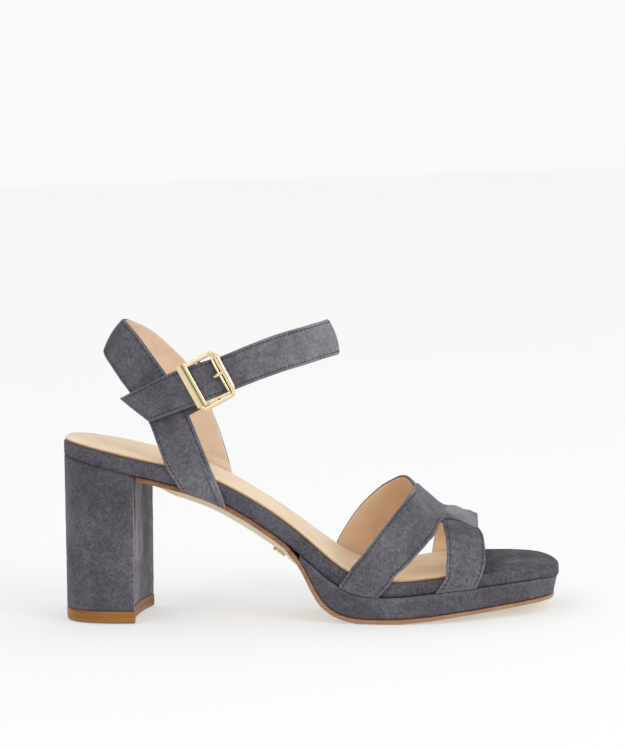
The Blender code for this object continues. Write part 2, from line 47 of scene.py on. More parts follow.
GAP, WALL, RAND, SOCK, SOLE, BELLY, HEEL_TIP, SEAT_END = 0.3, 1.8, 8.6, 0.7, 2.1, 5.8, 5.7, 36.5
STRAP_LIFT = 1.55
WIRE = 0.95
BUCKLE_AT = (73.4, -31.0, 113.2)
BUCKLE_TURN = 27.0
BUCKLE_HALF = (7.6, 10.9)

# ---- the last and its straps ----------------------------------------------------------------------
OUTLINE = [
    (0.0, -3.0, 7.0), (0.7, -7.5, 11.0), (2.5, -12.5, 15.5), (6.0, -17.5, 20.5), (12.0, -22.0, 25.0), (20.0, -25.0, 28.0),
    (30.0, -26.6, 29.6), (40.0, -27.0, 29.2), (50.0, -26.8, 27.0), (60.0, -26.2, 23.0), (70.0, -25.3, 16.8), (80.0, -24.6, 12.6),
    (90.0, -24.3, 10.8), (100.0, -24.7, 10.5), (110.0, -26.2, 11.6), (120.0, -28.8, 14.2), (130.0, -31.9, 19.0), (140.0, -34.7, 25.6),
    (150.0, -36.7, 32.8), (160.0, -37.7, 38.0), (170.0, -37.6, 41.2), (180.0, -36.2, 42.2), (190.0, -33.4, 41.0), (200.0, -29.8, 38.6),
    (210.0, -25.2, 35.2), (218.0, -20.4, 31.2), (224.0, -15.4, 26.8), (228.0, -10.0, 21.8), (230.4, -3.6, 15.6), (231.0, 1.0, 11.6),
]
FOOTBED = [
    (0.0, 86.6), (5.0, 85.6), (10.0, 84.5), (16.6, 82.9), (23.4, 81.3), (36.7, 77.9), (50.4, 74.6), (62.4, 71.1), (74.9, 66.2),
    (84.7, 60.9), (96.3, 53.5), (107.9, 45.1), (119.6, 35.4), (127.0, 29.2), (134.0, 24.3), (141.0, 21.3), (150.0, 19.9),
    (160.0, 19.8), (170.0, 20.6), (180.0, 21.5), (190.0, 22.0), (200.0, 22.3), (212.0, 22.6), (222.0, 22.3), (231.0, 20.6),
]
BOARD = [(0.0, 0.95), (30.0, 0.98), (100.0, 1.0), (140.0, 0.95), (160.0, 0.88), (200.0, 0.82), (218.0, 0.76), (231.0, 0.62)]
OUTSOLE = [
    (106.0, 35.2), (108.3, 32.4), (111.0, 29.0), (114.0, 24.0), (117.5, 17.0), (121.0, 10.9), (124.8, 6.9), (129.2, 4.3), (134.6, 2.7),
    (140.0, 2.15), (148.0, 2.1), (156.0, 2.15), (169.0, 2.95), (181.0, 4.05), (194.0, 5.15), (210.0, 6.25), (222.0, 6.7), (231.0, 6.75),
]
STAND_OUT = [(36.0, 0.2), (104.0, 0.3), (118.0, 1.4), (128.0, 2.2), (195.0, 2.2), (207.0, 1.4), (222.0, 0.4), (231.0, 0.2)]
CROWN = [
    (118.0, 79.0), (130.0, 75.0), (140.0, 70.7), (150.0, 66.6), (161.0, 60.6),
    (166.0, 54.6), (171.0, 49.7), (177.0, 44.4), (184.0, 43.4), (192.0, 41.8),
    (200.0, 37.6),
]
# upper vamp strap: rear edge x, angle round the last, front edge x, angle
STRAP_A = [
    (129.5, -7.0, 148.0, -7.0), (134.5, 0.0, 154.3, 0.0), (139.2, 5.0, 160.9, 5.0), (143.0, 10.0, 164.6, 10.0),
    (149.0, 20.0, 169.5, 20.0), (154.0, 30.0, 172.6, 30.0), (158.0, 40.0, 174.7, 40.0), (160.6, 49.0, 176.2, 50.0),
    (162.4, 59.0, 177.6, 59.5), (163.9, 71.0, 179.4, 65.0), (164.8, 84.0, 183.0, 65.0), (165.4, 97.0, 187.6, 61.5),
    (166.4, 108.0, 191.5, 57.5), (168.1, 118.0, 193.9, 58.0), (169.7, 126.0, 194.6, 71.0), (170.9, 133.0, 194.0, 90.0),
    (171.7, 140.0, 193.5, 110.0), (172.2, 147.0, 193.1, 130.0), (172.2, 155.0, 193.0, 148.0), (171.4, 166.0, 192.3, 163.0),
    (169.8, 180.0, 190.7, 179.0), (168.6, 187.0, 189.0, 187.0),
]
# lower vamp strap: angle, rear edge x, front edge x
STRAP_B = [
    (-7.0, 174.3, 192.9), (0.0, 179.0, 196.0), (8.5, 179.7, 197.3), (20.0, 180.0, 197.5),
    (32.0, 179.7, 197.4), (42.0, 179.4, 197.0), (53.0, 178.6, 196.0), (66.0, 177.4, 191.8),
    (80.0, 171.0, 187.0), (95.0, 164.6, 182.6), (110.0, 159.8, 178.8), (125.0, 153.4, 174.4),
    (137.5, 146.2, 168.2), (150.0, 138.8, 161.8), (165.0, 131.4, 154.2), (180.0, 125.4, 148.0),
    (187.0, 123.0, 145.2),
]
# front edge x, y, z, rear edge x, y, z, from the outer foot round the back to the inner foot
BAND = [
    (78.4, -26.8, 53.3, 57.5, -28.6, 62.6), (76.6, -27.0, 59.4, 55.3, -28.4, 66.2), (72.3, -26.8, 71.6, 51.3, -27.2, 73.6),
    (67.3, -25.6, 85.0, 47.4, -24.2, 83.5), (62.4, -24.0, 97.1, 43.6, -20.8, 93.3), (57.5, -22.6, 107.0, 39.0, -18.0, 100.8),
    (52.2, -20.4, 115.8, 34.0, -15.0, 107.6), (46.0, -16.8, 124.0, 29.6, -11.8, 113.0), (39.5, -11.5, 132.2, 25.2, -7.5, 118.8),
    (34.0, -5.8, 137.8, 22.2, -3.8, 122.6), (31.4, 0.0, 139.9, 21.2, 0.0, 124.6), (34.2, 5.8, 138.6, 22.2, 3.8, 122.6),
    (42.2, 11.5, 133.6, 25.8, 7.5, 118.8), (50.0, 16.4, 125.6, 31.0, 11.8, 113.0), (57.2, 19.2, 117.2, 36.2, 15.0, 107.4),
    (63.2, 20.8, 107.6, 42.0, 18.0, 100.4), (67.4, 21.4, 96.1, 47.2, 20.8, 92.3), (71.8, 20.6, 83.4, 51.4, 23.6, 82.5),
    (75.4, 18.6, 70.2, 55.0, 25.8, 73.0), (78.4, 16.2, 58.6, 58.0, 25.2, 65.6), (80.2, 14.8, 52.2, 59.6, 24.6, 61.8),
]
# lower edge x, y, z, upper edge x, y, z, from the strap's end through the buckle and round to the inner side
ANKLE = [
    (44.1, -25.0, 94.1, 29.7, -18.6, 104.8), (47.5, -25.7, 95.2, 35.9, -20.7, 108.0), (52.5, -26.9, 97.0, 44.0, -23.5, 111.8),
    (58.5, -28.2, 99.1, 51.0, -25.9, 115.1), (65.0, -29.1, 101.3, 58.0, -28.3, 118.0), (72.0, -29.8, 103.8, 65.5, -29.4, 120.3),
    (79.0, -29.6, 106.3, 72.5, -29.4, 122.3), (86.2, -28.6, 108.8, 79.8, -28.4, 124.3), (96.6, -25.8, 112.4, 91.4, -25.4, 128.6),
    (108.0, -21.8, 115.8, 104.2, -21.3, 132.8), (118.6, -16.8, 118.4, 116.0, -16.2, 135.6), (124.6, -13.0, 120.0, 121.2, -12.4, 136.8),
    (129.2, -8.8, 121.0, 124.8, -8.4, 137.6), (131.4, -3.4, 121.3, 126.6, -3.2, 138.0), (130.6, 2.6, 121.4, 125.6, 2.6, 137.0),
    (126.6, 7.6, 120.2, 121.8, 7.4, 135.2), (118.0, 12.4, 117.0, 114.0, 12.0, 132.2), (106.0, 16.8, 114.4, 102.4, 16.4, 128.6),
    (93.0, 20.4, 109.4, 89.4, 20.0, 123.4), (80.0, 23.4, 103.8, 76.0, 22.9, 117.8), (69.0, 25.0, 99.4, 64.4, 24.3, 112.9),
    (60.0, 26.0, 95.4, 54.4, 24.2, 109.0), (51.5, 26.4, 91.4, 46.0, 23.2, 105.8),
]


def curve_of(rows, column, at=0):
    """A smooth function through one column of a table against another."""
    x = np.array([row[at] for row in rows], float)
    y = np.array([row[column] for row in rows], float)
    step = np.diff(x)
    slope = np.diff(y) / step
    tangent = np.empty_like(y)
    tangent[1:-1] = (slope[:-1] * step[1:] + slope[1:] * step[:-1]) / (step[:-1] + step[1:])
    tangent[0], tangent[-1] = slope[0], slope[-1]

    def value(q):
        q = np.asarray(q, float)
        i = np.clip(np.searchsorted(x, q) - 1, 0, len(x) - 2)
        h = x[i + 1] - x[i]
        t = (q - x[i]) / h
        inside = (
            (2 * t**3 - 3 * t**2 + 1) * y[i]
            + (t**3 - 2 * t**2 + t) * h * tangent[i]
            + (3 * t**2 - 2 * t**3) * y[i + 1]
            + (t**3 - t**2) * h * tangent[i + 1]
        )
        inside = np.where(q < x[0], y[0] + tangent[0] * (q - x[0]), inside)
        return np.where(q > x[-1], y[-1] + tangent[-1] * (q - x[-1]), inside)

    return value


outer, inner = curve_of(OUTLINE, 1), curve_of(OUTLINE, 2)
footbed_top = curve_of(FOOTBED, 1)
board = curve_of(BOARD, 1)
sole_forepart = curve_of(OUTSOLE, 1)
stand_out = curve_of(STAND_OUT, 1)
crown = curve_of(CROWN, 1)


def step01(x, a, b):
    t = np.clip((np.asarray(x, float) - a) / (b - a), 0, 1)
    return t * t * (3 - 2 * t)


def bump_at(x, centre, width):
    return np.exp(-(((np.asarray(x, float) - centre) / width) ** 2))


def slope_factor(function, x):
    return np.sqrt(1 + (function(np.asarray(x, float) + 0.5) - function(np.asarray(x, float) - 0.5)) ** 2)


def board_under(x):
    return footbed_top(x) - RAND * board(x) * slope_factor(footbed_top, x)


def sole_top(x):
    waist = board_under(x) - GAP * slope_factor(footbed_top, x)
    k = step01(x, 103.0, 108.0)
    return waist * (1 - k) + sole_forepart(x) * k


def sole_under(x):
    low = sole_top(x) - SOLE * (1 - 0.14 * step01(x, 158, 190)) * slope_factor(sole_top, x)
    return np.where((x > 115) & (low < 0.22), 0.0, low)


def breast(y):
    t = (y + 26.8) / (26.8 + 29.3)
    return SEAT_END - 0.2 + 2.0 * t - 3.0 * (1 - (2 * t - 1) ** 2)


def wobble(p, size, seed=0.0):
    """Smooth seeded waves in space, about -1 to 1, for hand-made unevenness."""
    p = np.asarray(p, float) / size
    total = np.zeros(p.shape[:-1])
    for i in range(6):
        a = 1.7 * i + seed * 2.3
        k = np.array([math.cos(a) * (1 + 0.31 * i), math.sin(1.3 * a) * (1 + 0.17 * i), math.cos(0.7 * a + 1.1)])
        total += np.sin(p @ k * 2.1 + 2.6 * i + seed) / (1 + 0.25 * i)
    return total / 3.2


# ---- mesh building ----------------------------------------------------------------------------------


def to_world(points):
    p = np.asarray(points, float).reshape(-1, 3)
    return (p - np.array([CENTRE_X, CENTRE_Y, 0.0])) / 1000.0


def mesh_piece(name, points, faces, materials, face_material=None, tone=None, uv=None, sharp=42, flip=False):
    """One object from points in mm. tone is a number per point, read by the materials: lighter or darker colour, partly
    random and partly painted light and shade.
    """
    mesh = bpy.data.meshes.new(name)
    if flip:
        faces = [tuple(reversed(f)) for f in faces]
    mesh.from_pydata(to_world(points).tolist(), [], faces)
    for m in materials:
        mesh.materials.append(m)
    if face_material is not None:
        mesh.polygons.foreach_set("material_index", np.asarray(face_material, np.int32))
    if tone is None:
        tone = np.zeros(len(points))
    mesh.attributes.new("tone", "FLOAT", "POINT").data.foreach_set("value", np.asarray(tone, np.float32).reshape(-1))
    if uv is not None:
        layer = mesh.uv_layers.new(name="UVMap")
        loops = np.empty(len(mesh.loops), np.int32)
        mesh.loops.foreach_get("vertex_index", loops)
        layer.data.foreach_set("uv", np.asarray(uv, np.float32).reshape(-1, 2)[loops].reshape(-1))
    mesh.update()
    mesh.shade_smooth()
    if sharp:
        mesh.set_sharp_from_angle(angle=math.radians(sharp))
    obj = bpy.data.objects.new(name, mesh)
    bpy.context.scene.collection.objects.link(obj)
    return obj


def finish_piece(obj, slot, *nodes):
    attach(obj, "root")
    if nodes:
        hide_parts(*nodes)
    return obj


def smooth_closed(loop, times, share=0.5):
    loop = np.asarray(loop, float)
    for _ in range(times):
        loop = loop * (1 - share) + (np.roll(loop, 1, 0) + np.roll(loop, -1, 0)) * share / 2
    return loop


def soft_ends(loop, weight, spread=4.2):
    """Rounds a closed line over a spread in mm, where weight is 1."""
    spacing = np.linalg.norm(np.roll(loop, -1, 0) - loop, axis=1).mean()
    wide = smooth_closed(loop, int(2 * (spread / spacing) ** 2))
    weight = np.asarray(weight, float)[:, None]
    return loop * (1 - weight) + wide * weight


def resample(line, count):
    line = np.asarray(line, float)
    along = np.concatenate([[0], np.cumsum(np.linalg.norm(np.diff(line, axis=0), axis=1))])
    at = np.linspace(0, along[-1], count)
    return np.column_stack([np.interp(at, along, line[:, k]) for k in range(line.shape[1])])


def plan_normals(loop):
    """Outward normals of a closed plan loop that runs anticlockwise seen from above."""
    d = np.roll(loop, -1, 0) - np.roll(loop, 1, 0)
    n = np.column_stack([d[:, 1], -d[:, 0]])
    return n / np.linalg.norm(n, axis=1)[:, None]


def plan_loop(x0, x1, side, count, rounding=3, start=None, reach=None):
    """The sole's plan between x0 and x1, as two lines of equal count that share their ends: outer side, inner side.
    side(x) is how far it stands out from the footbed. start(y) shapes a cut rear end, reach(x) stretches the toe."""
    xs = np.concatenate([x0 + (x1 - x0) * (1 - np.cos(np.linspace(0, math.pi, 240))) / 2])
    look = reach(xs) if reach is not None else xs
    o = np.column_stack([xs, outer(look) - side(xs)])
    n = np.column_stack([xs, inner(look) + side(xs)])
    if start is not None:
        fade = np.clip(1 - (xs - x0) / 10, 0, 1)[:, None]
        o[:, :1] += fade * np.array(start(o[:, 1]) - x0)[:, None]
        n[:, :1] += fade * np.array(start(n[:, 1]) - x0)[:, None]
        ys = np.linspace(o[0, 1], n[0, 1], 41)
        rear = np.column_stack([start(ys), ys])
    else:
        rear = np.column_stack([np.full(41, x0), np.linspace(o[0, 1], n[0, 1], 41)])
    front = np.column_stack([np.full(21, x1), np.linspace(o[-1, 1], n[-1, 1], 21)])
    outer_line = np.vstack([rear[20::-1], o[1:-1], front[:11]])
    inner_line = np.vstack([rear[20:], n[1:-1], front[:9:-1]])
    a, b = resample(outer_line, count), resample(inner_line, count)
    loop = np.vstack([a, b[-2:0:-1]])  # anticlockwise from above: out along the outer side, back along the inner
    loop = soft_ends(smooth_closed(loop, rounding), step01(loop[:, 0], 199, 215) + (1 - step01(loop[:, 0], 10, 28)) * (x0 < 5))
    return loop[:count], np.vstack([loop[:1], loop[:count - 2:-1]])


def shell(a, b, layers, top, under, across=14, ripple=None):
    """Points and faces of a sole layer. a and b are the outer and inner plan lines. layers go up the side as
    (inset, height(x, y, a share)) and top(x, y), under(x, y) cap it. Face kinds: 0 side, 1 top, 2 underside."""
    loop = np.vstack([a, b[-2:0:-1]])
    normals = plan_normals(loop)
    n = len(loop)
    count = len(a)
    points, faces, kinds, rings = [], [], [], []
    for inset, height in layers:
        depth = inset(loop) if callable(inset) else inset
        shifted = loop - normals * np.asarray(depth, float).reshape(-1, 1)
        if ripple is not None:
            shifted = shifted + normals * ripple(shifted, inset)[:, None]
        z = height(shifted[:, 0], shifted[:, 1])
        rings.append(len(points))
        points.extend(np.column_stack([shifted, z]).tolist())
    for r0, r1 in zip(rings, rings[1:]):
        for k in range(n):
            m = (k + 1) % n
            faces.append((r0 + k, r0 + m, r1 + m, r1 + k))
            kinds.append(0)

    def cap(ring, height, kind, up):
        grid = []
        outer_index = [ring + k for k in range(count)]
        inner_index = [ring] + [ring + n - k for k in range(1, count - 1)] + [ring + count - 1]
        pts = np.array(points)
        for k in range(count):
            p, q = pts[outer_index[k]], pts[inner_index[k]]
            if k in (0, count - 1):
                grid.append([outer_index[k]] * (across + 1))
                continue
            row = [outer_index[k]]
            for j in range(1, across):
                t = j / across
                t = t * 0.6 + 0.4 * (1 - math.cos(math.pi * t)) / 2
                x, y = p[0] * (1 - t) + q[0] * t, p[1] * (1 - t) + q[1] * t
                row.append(len(points))
                points.append([x, y, float(height(x, y))])
            row.append(inner_index[k])
            grid.append(row)
        for r, s in zip(grid, grid[1:]):
            for j in range(across):
                quad = []
                for v in (r[j], s[j], s[j + 1], r[j + 1]):
                    if v not in quad:
                        quad.append(v)
                if len(quad) > 2:
                    faces.append(tuple(quad) if up else tuple(reversed(quad)))
                    kinds.append(kind)

    cap(rings[-1], top, 1, True)
    cap(rings[0], under, 2, False)
    return np.array(points), faces, kinds


def rounded(r_low, r_high, low, high, steps=5):
    """Layers of a side from its low edge to its high edge, both rounded."""
    out = []
    for a in np.linspace(0, math.pi / 2, steps):
        inset = r_low * (1 - math.sin(a))
        lift = r_low * (1 - math.cos(a))
        out.append((inset, lambda x, y, lift=lift: low(x, y) + lift))
    for share in (0.2, 0.4, 0.6, 0.8):
        out.append((0.0, lambda x, y, s=share: (low(x, y) + r_low) * (1 - s) + (high(x, y) - r_high) * s))
    for a in np.linspace(0, math.pi / 2, steps):
        inset = r_high * (1 - math.cos(a))
        drop = r_high * (1 - math.sin(a))
        out.append((inset, lambda x, y, drop=drop: high(x, y) - drop))
    return out


def strap_piece(name, surface, s_range, count, materials, relief=None, tone=None, edge_r=0.75, groove=1.5, wall=WALL, columns=18, plain=None, inside=None):
    """A lined strap. surface(s, t) gives its outer face; relief(s, e, w, p) pushes that face out, mm; e is the
    distance to the nearer edge. plain(s, t) is 1 where an edge has no seam. Materials: suede, lining. Returns the
    object, a function for its stitches and the strap's grid."""
    s_values = np.linspace(*s_range, count)
    fine = np.linspace(0, 1, 41)
    coarse = np.array([[surface(s, t) for t in fine] for s in s_values])
    mids = coarse[:, 20]
    width = np.linalg.norm(coarse[:, 1:] - coarse[:, :-1], axis=2).sum(axis=1)
    along = np.concatenate([[0], np.cumsum(np.linalg.norm(np.diff(mids, axis=0), axis=1))])
    ds = np.gradient(coarse, axis=0)
    dt = np.gradient(coarse, axis=1)
    normal = np.cross(ds, dt)
    normal /= np.linalg.norm(normal, axis=2)[:, :, None]
    if np.einsum("k,k", normal[count // 2, 20], strap_side(mids, count // 2)) < 0:
        normal = -normal

    def sample(field, i, t):
        k = np.clip(np.asarray(t) * 40, 0, 39.9999)
        lo = k.astype(int)
        f = (k - lo)[:, None]
        return field[i][lo] * (1 - f) + field[i][lo + 1] * f

    def stretch(edge, toward):
        along_edge = np.gradient(edge, axis=0)
        along_edge /= np.linalg.norm(along_edge, axis=1)[:, None]
        across_row = toward - edge
        across_row /= np.linalg.norm(across_row, axis=1)[:, None]
        square = np.sqrt(np.clip(1 - np.einsum("ij,ij->i", along_edge, across_row) ** 2, 0.16, 1))
        kernel = np.ones(7) / 7
        return np.convolve(np.pad(1 / square, 3, mode="edge"), kernel, mode="valid")

    more = (stretch(coarse[:, 0], coarse[:, 3]), stretch(coarse[:, 40], coarse[:, 37]))
    inward = [0.0, 0.07, 0.2, 0.42, 0.75, 1.15, 1.5, 1.7, 1.9, 2.3, 2.9]
    half_cols = columns // 2
    points, tones, uvs = [], [], []
    ring_size = None
    for i, s in enumerate(s_values):
        w = width[i]
        e_list = inward + list(np.linspace(3.6, w / 2, half_cols + 1)[:-1])
        left = np.array(e_list)
        e = np.concatenate([left, [w / 2], left[::-1]])
        sign = np.concatenate([np.zeros(len(left)), [0], np.ones(len(left))])
        near = [1 + (more[k][i] - 1) * np.clip(1 - (left - 2.9) / (w / 2 - 2.9), 0, 1) for k in (0, 1)]
        reach = np.concatenate([left * near[0], [w / 2], (left * near[1])[::-1]])
        t = np.where(sign == 0, reach / w, 1 - reach / w)
        t = np.maximum.accumulate(t)
        base, nrm = sample(coarse, i, t), sample(normal, i, t)
        bare = plain(s, t) if plain is not None else np.zeros(len(e))
        roll = np.where(e < edge_r, edge_r - np.sqrt(np.maximum(edge_r**2 - (edge_r - e) ** 2, 0)), 0)
        sink = (0.14 * bump_at(e, groove, 0.32) - 0.05 * bump_at(e, 0.9, 0.4)) * (1 - bare)
        lift = relief(s, e, w, base) if relief is not None else 0.0
        p = base + nrm * (lift - roll - sink)[:, None]
        lining = np.array([0.0, 0.0, 0.25, 0.6, 1.4] + list(np.linspace(2.6, w / 2, 6)[:-1]))
        depth = np.array([wall - 0.55, wall - 0.28, wall - 0.06, wall, wall] + [wall] * 5)
        e2 = np.concatenate([lining, [w / 2], lining[::-1]])
        d2 = np.concatenate([depth, [wall], depth[::-1]])
        t2 = np.concatenate([1 - lining / w, [0.5], (lining / w)[::-1]])
        base2, nrm2 = sample(coarse, i, t2), sample(normal, i, t2)
        follow = np.interp(t2, t, lift) * 0.8 if relief is not None else 0.0
        inner_p = base2 + nrm2 * (follow - d2)[:, None]
        points.append(np.vstack([p, inner_p]))
        shade = tone(s, t, e, w, p) if tone is not None else np.zeros(len(e))
        # painted highlight along the rolled edge and painted shade in the stitch groove, both left out where an edge
        # has no seam
        shade = shade + 0.20 + (0.34 * bump_at(e, 0.3, 0.4) - 0.22 * bump_at(e, groove, 0.35)) * (1 - bare)
        tones.append(np.concatenate([shade, np.full(len(e2), inside(s) if inside is not None else 0.0)]))
        uvs.append(np.concatenate([np.column_stack([np.full(len(t), along[i]), t * w]), np.column_stack([np.full(len(t2), along[i]), t2 * w])]) / 100)
        n_out, ring_size = len(e), len(e) + len(e2)
    points, tones, uvs = np.vstack(points), np.concatenate(tones), np.vstack(uvs)
    faces, kinds = [], []
    n_in = ring_size - n_out
    for i in range(count - 1):
        for k in range(ring_size):
            m = (k + 1) % ring_size
            faces.append((i * ring_size + k, (i + 1) * ring_size + k, (i + 1) * ring_size + m, i * ring_size + m))
            kinds.append(1 if n_out + 1 <= k < ring_size - 2 else 0)
    # the ends, as strips between outer face and lining
    for i, turn in ((0, False), (count - 1, True)):
        o = [i * ring_size + k for k in range(n_out)]
        q = [i * ring_size + n_out + k for k in range(n_in)][::-1]
        grid_t = np.linspace(0, 1, n_out)
        other = [q[int(round(v * (n_in - 1)))] for v in grid_t]
        for k in range(n_out - 1):
            quad = []
            for v in (o[k], o[k + 1], other[k + 1], other[k]):
                if v not in quad:
                    quad.append(v)
            if len(quad) > 2:
                faces.append(tuple(quad[::-1]) if turn else tuple(quad))
                kinds.append(0)
    k_mid = n_out // 2
    f0 = faces[(count // 2) * ring_size + k_mid]
    flat = np.cross(points[f0[1]] - points[f0[0]], points[f0[2]] - points[f0[1]])
    flip = float(np.dot(flat, normal[count // 2, 20])) < 0
    obj = mesh_piece(name, points, faces, materials, kinds, tones, uvs, sharp=50, flip=flip)

    def seam(e, start=0.0, stop=None, side=0):
        """Points, directions and normals along a line e mm from one edge."""
        t = e * more[side] / width
        t = t if side == 0 else 1 - t
        line = np.array([sample(coarse, i, [t[i]])[0] for i in range(count)])
        nrm = np.array([sample(normal, i, [t[i]])[0] for i in range(count)])
        if relief is not None:
            line = line + nrm * np.array([float(np.atleast_1d(relief(s_values[i], np.array([e]), width[i], line[i : i + 1]))[0]) for i in range(count)])[:, None]
        length = np.concatenate([[0], np.cumsum(np.linalg.norm(np.diff(line, axis=0), axis=1))])
        stop_at = length[-1] if stop is None else (stop if stop > 0 else length[-1] + stop)
        return line, nrm, length, start, stop_at

    return obj, seam, (coarse, normal, width, along)


def strap_side(mids, i):
    """Outward direction of a strap at one row: away from the middle of all its rows."""
    return mids[i] - mids.mean(axis=0)


def stitches(name, rows, materials, pitch=2.05, length=1.3, radius=0.19, sink=0.02):
    """Thread dashes along rows of (line, normals, lengths, start, stop), as one mesh."""
    rings = [(-0.5, 0.25), (-0.42, 0.75), (-0.2, 1.0), (0.2, 1.0), (0.42, 0.75), (0.5, 0.25)]
    points, faces = [], []
    for line, nrm, at, start, stop in rows:
        places = np.arange(start + pitch / 2, stop - pitch / 3, pitch)
        for j, place in enumerate(places):
            c = np.array([np.interp(place, at, line[:, k]) for k in range(3)])
            a = np.array([np.interp(place - 0.4, at, line[:, k]) for k in range(3)])
            b = np.array([np.interp(place + 0.4, at, line[:, k]) for k in range(3)])
            up = np.array([np.interp(place, at, nrm[:, k]) for k in range(3)])
            d = (b - a) / max(np.linalg.norm(b - a), 1e-9)
            up /= np.linalg.norm(up)
            side = np.cross(up, d)
            # each dash leans a little across its row, as a lockstitch does
            lean = 0.10 + 0.04 * math.sin(j * 2.4)
            d = d + side * lean
            d /= np.linalg.norm(d)
            side = np.cross(up, d)
            first = len(points)
            for share, size in rings:
                dip = -0.16 * (abs(share) * 2) ** 3
                centre = c + d * share * length + up * (sink + dip)
                for k in range(7):
                    angle = 2 * math.pi * k / 7
                    points.append(centre + (side * math.cos(angle) + up * math.sin(angle) * 0.8) * radius * size)
            for r in range(len(rings) - 1):
                for k in range(7):
                    m = (k + 1) % 7
                    faces.append((first + r * 7 + k, first + r * 7 + m, first + (r + 1) * 7 + m, first + (r + 1) * 7 + k))
            faces.append(tuple(first + k for k in range(7))[::-1])
            faces.append(tuple(first + (len(rings) - 1) * 7 + k for k in range(7)))
    return mesh_piece(name, points, faces, materials, sharp=0)


def fan_cap(points, faces, first, count, top):
    """Closes a ring of points with two smaller rings and a middle point."""
    ring = [np.array(points[first + k], float) for k in range(count)]
    middle = sum(ring) / count
    rings = [[first + k for k in range(count)]]
    for share in (0.97, 0.5):
        rings.append(list(range(len(points), len(points) + count)))
        points.extend([middle + (p - middle) * share for p in ring])
    points.append(middle)
    centre = len(points) - 1
    for low, high in zip(rings, rings[1:]):
        for k in range(count):
            m = (k + 1) % count
            quad = (low[k], low[m], high[m], high[k])
            faces.append(quad if top else quad[::-1])
    for k in range(count):
        tri = (rings[-1][k], rings[-1][(k + 1) % count], centre)
        faces.append(tri if top else tri[::-1])


def tube(path, radius, sides=16, cyclic=False, flat=1.0, up=(0, 1, 0)):
    """Points and faces of a round bar along a path in mm. radius may vary; flat squashes it along up."""
    path = np.asarray(path, float)
    n = len(path)
    radius = np.full(n, radius) if np.isscalar(radius) else np.asarray(radius, float)
    ahead, behind = np.roll(path, -1, 0), np.roll(path, 1, 0)
    if not cyclic:
        ahead[-1], behind[0] = path[-1], path[0]
    d = ahead - behind
    d /= np.linalg.norm(d, axis=1)[:, None]
    up = np.asarray(up, float)
    points, faces = [], []
    for i in range(n):
        u = up - d[i] * np.dot(up, d[i])
        u /= np.linalg.norm(u)
        v = np.cross(d[i], u)
        for k in range(sides):
            a = 2 * math.pi * k / sides
            points.append(path[i] + (v * math.cos(a) + u * math.sin(a) * flat) * radius[i])
    for i in range(n if cyclic else n - 1):
        j = (i + 1) % n
        for k in range(sides):
            m = (k + 1) % sides
            faces.append((i * sides + k, i * sides + m, j * sides + m, j * sides + k))
    if not cyclic:
        faces.append(tuple(range(sides))[::-1])
        faces.append(tuple((n - 1) * sides + k for k in range(sides)))
    return np.array(points), faces


def merged(*parts):
    points, faces = [], []
    for p, f in parts:
        first = len(points)
        points.extend(np.asarray(p).tolist())
        faces.extend(tuple(first + i for i in face) for face in f)
    return np.array(points), faces


# ---- materials ---------------------------------------------------------------------------------------


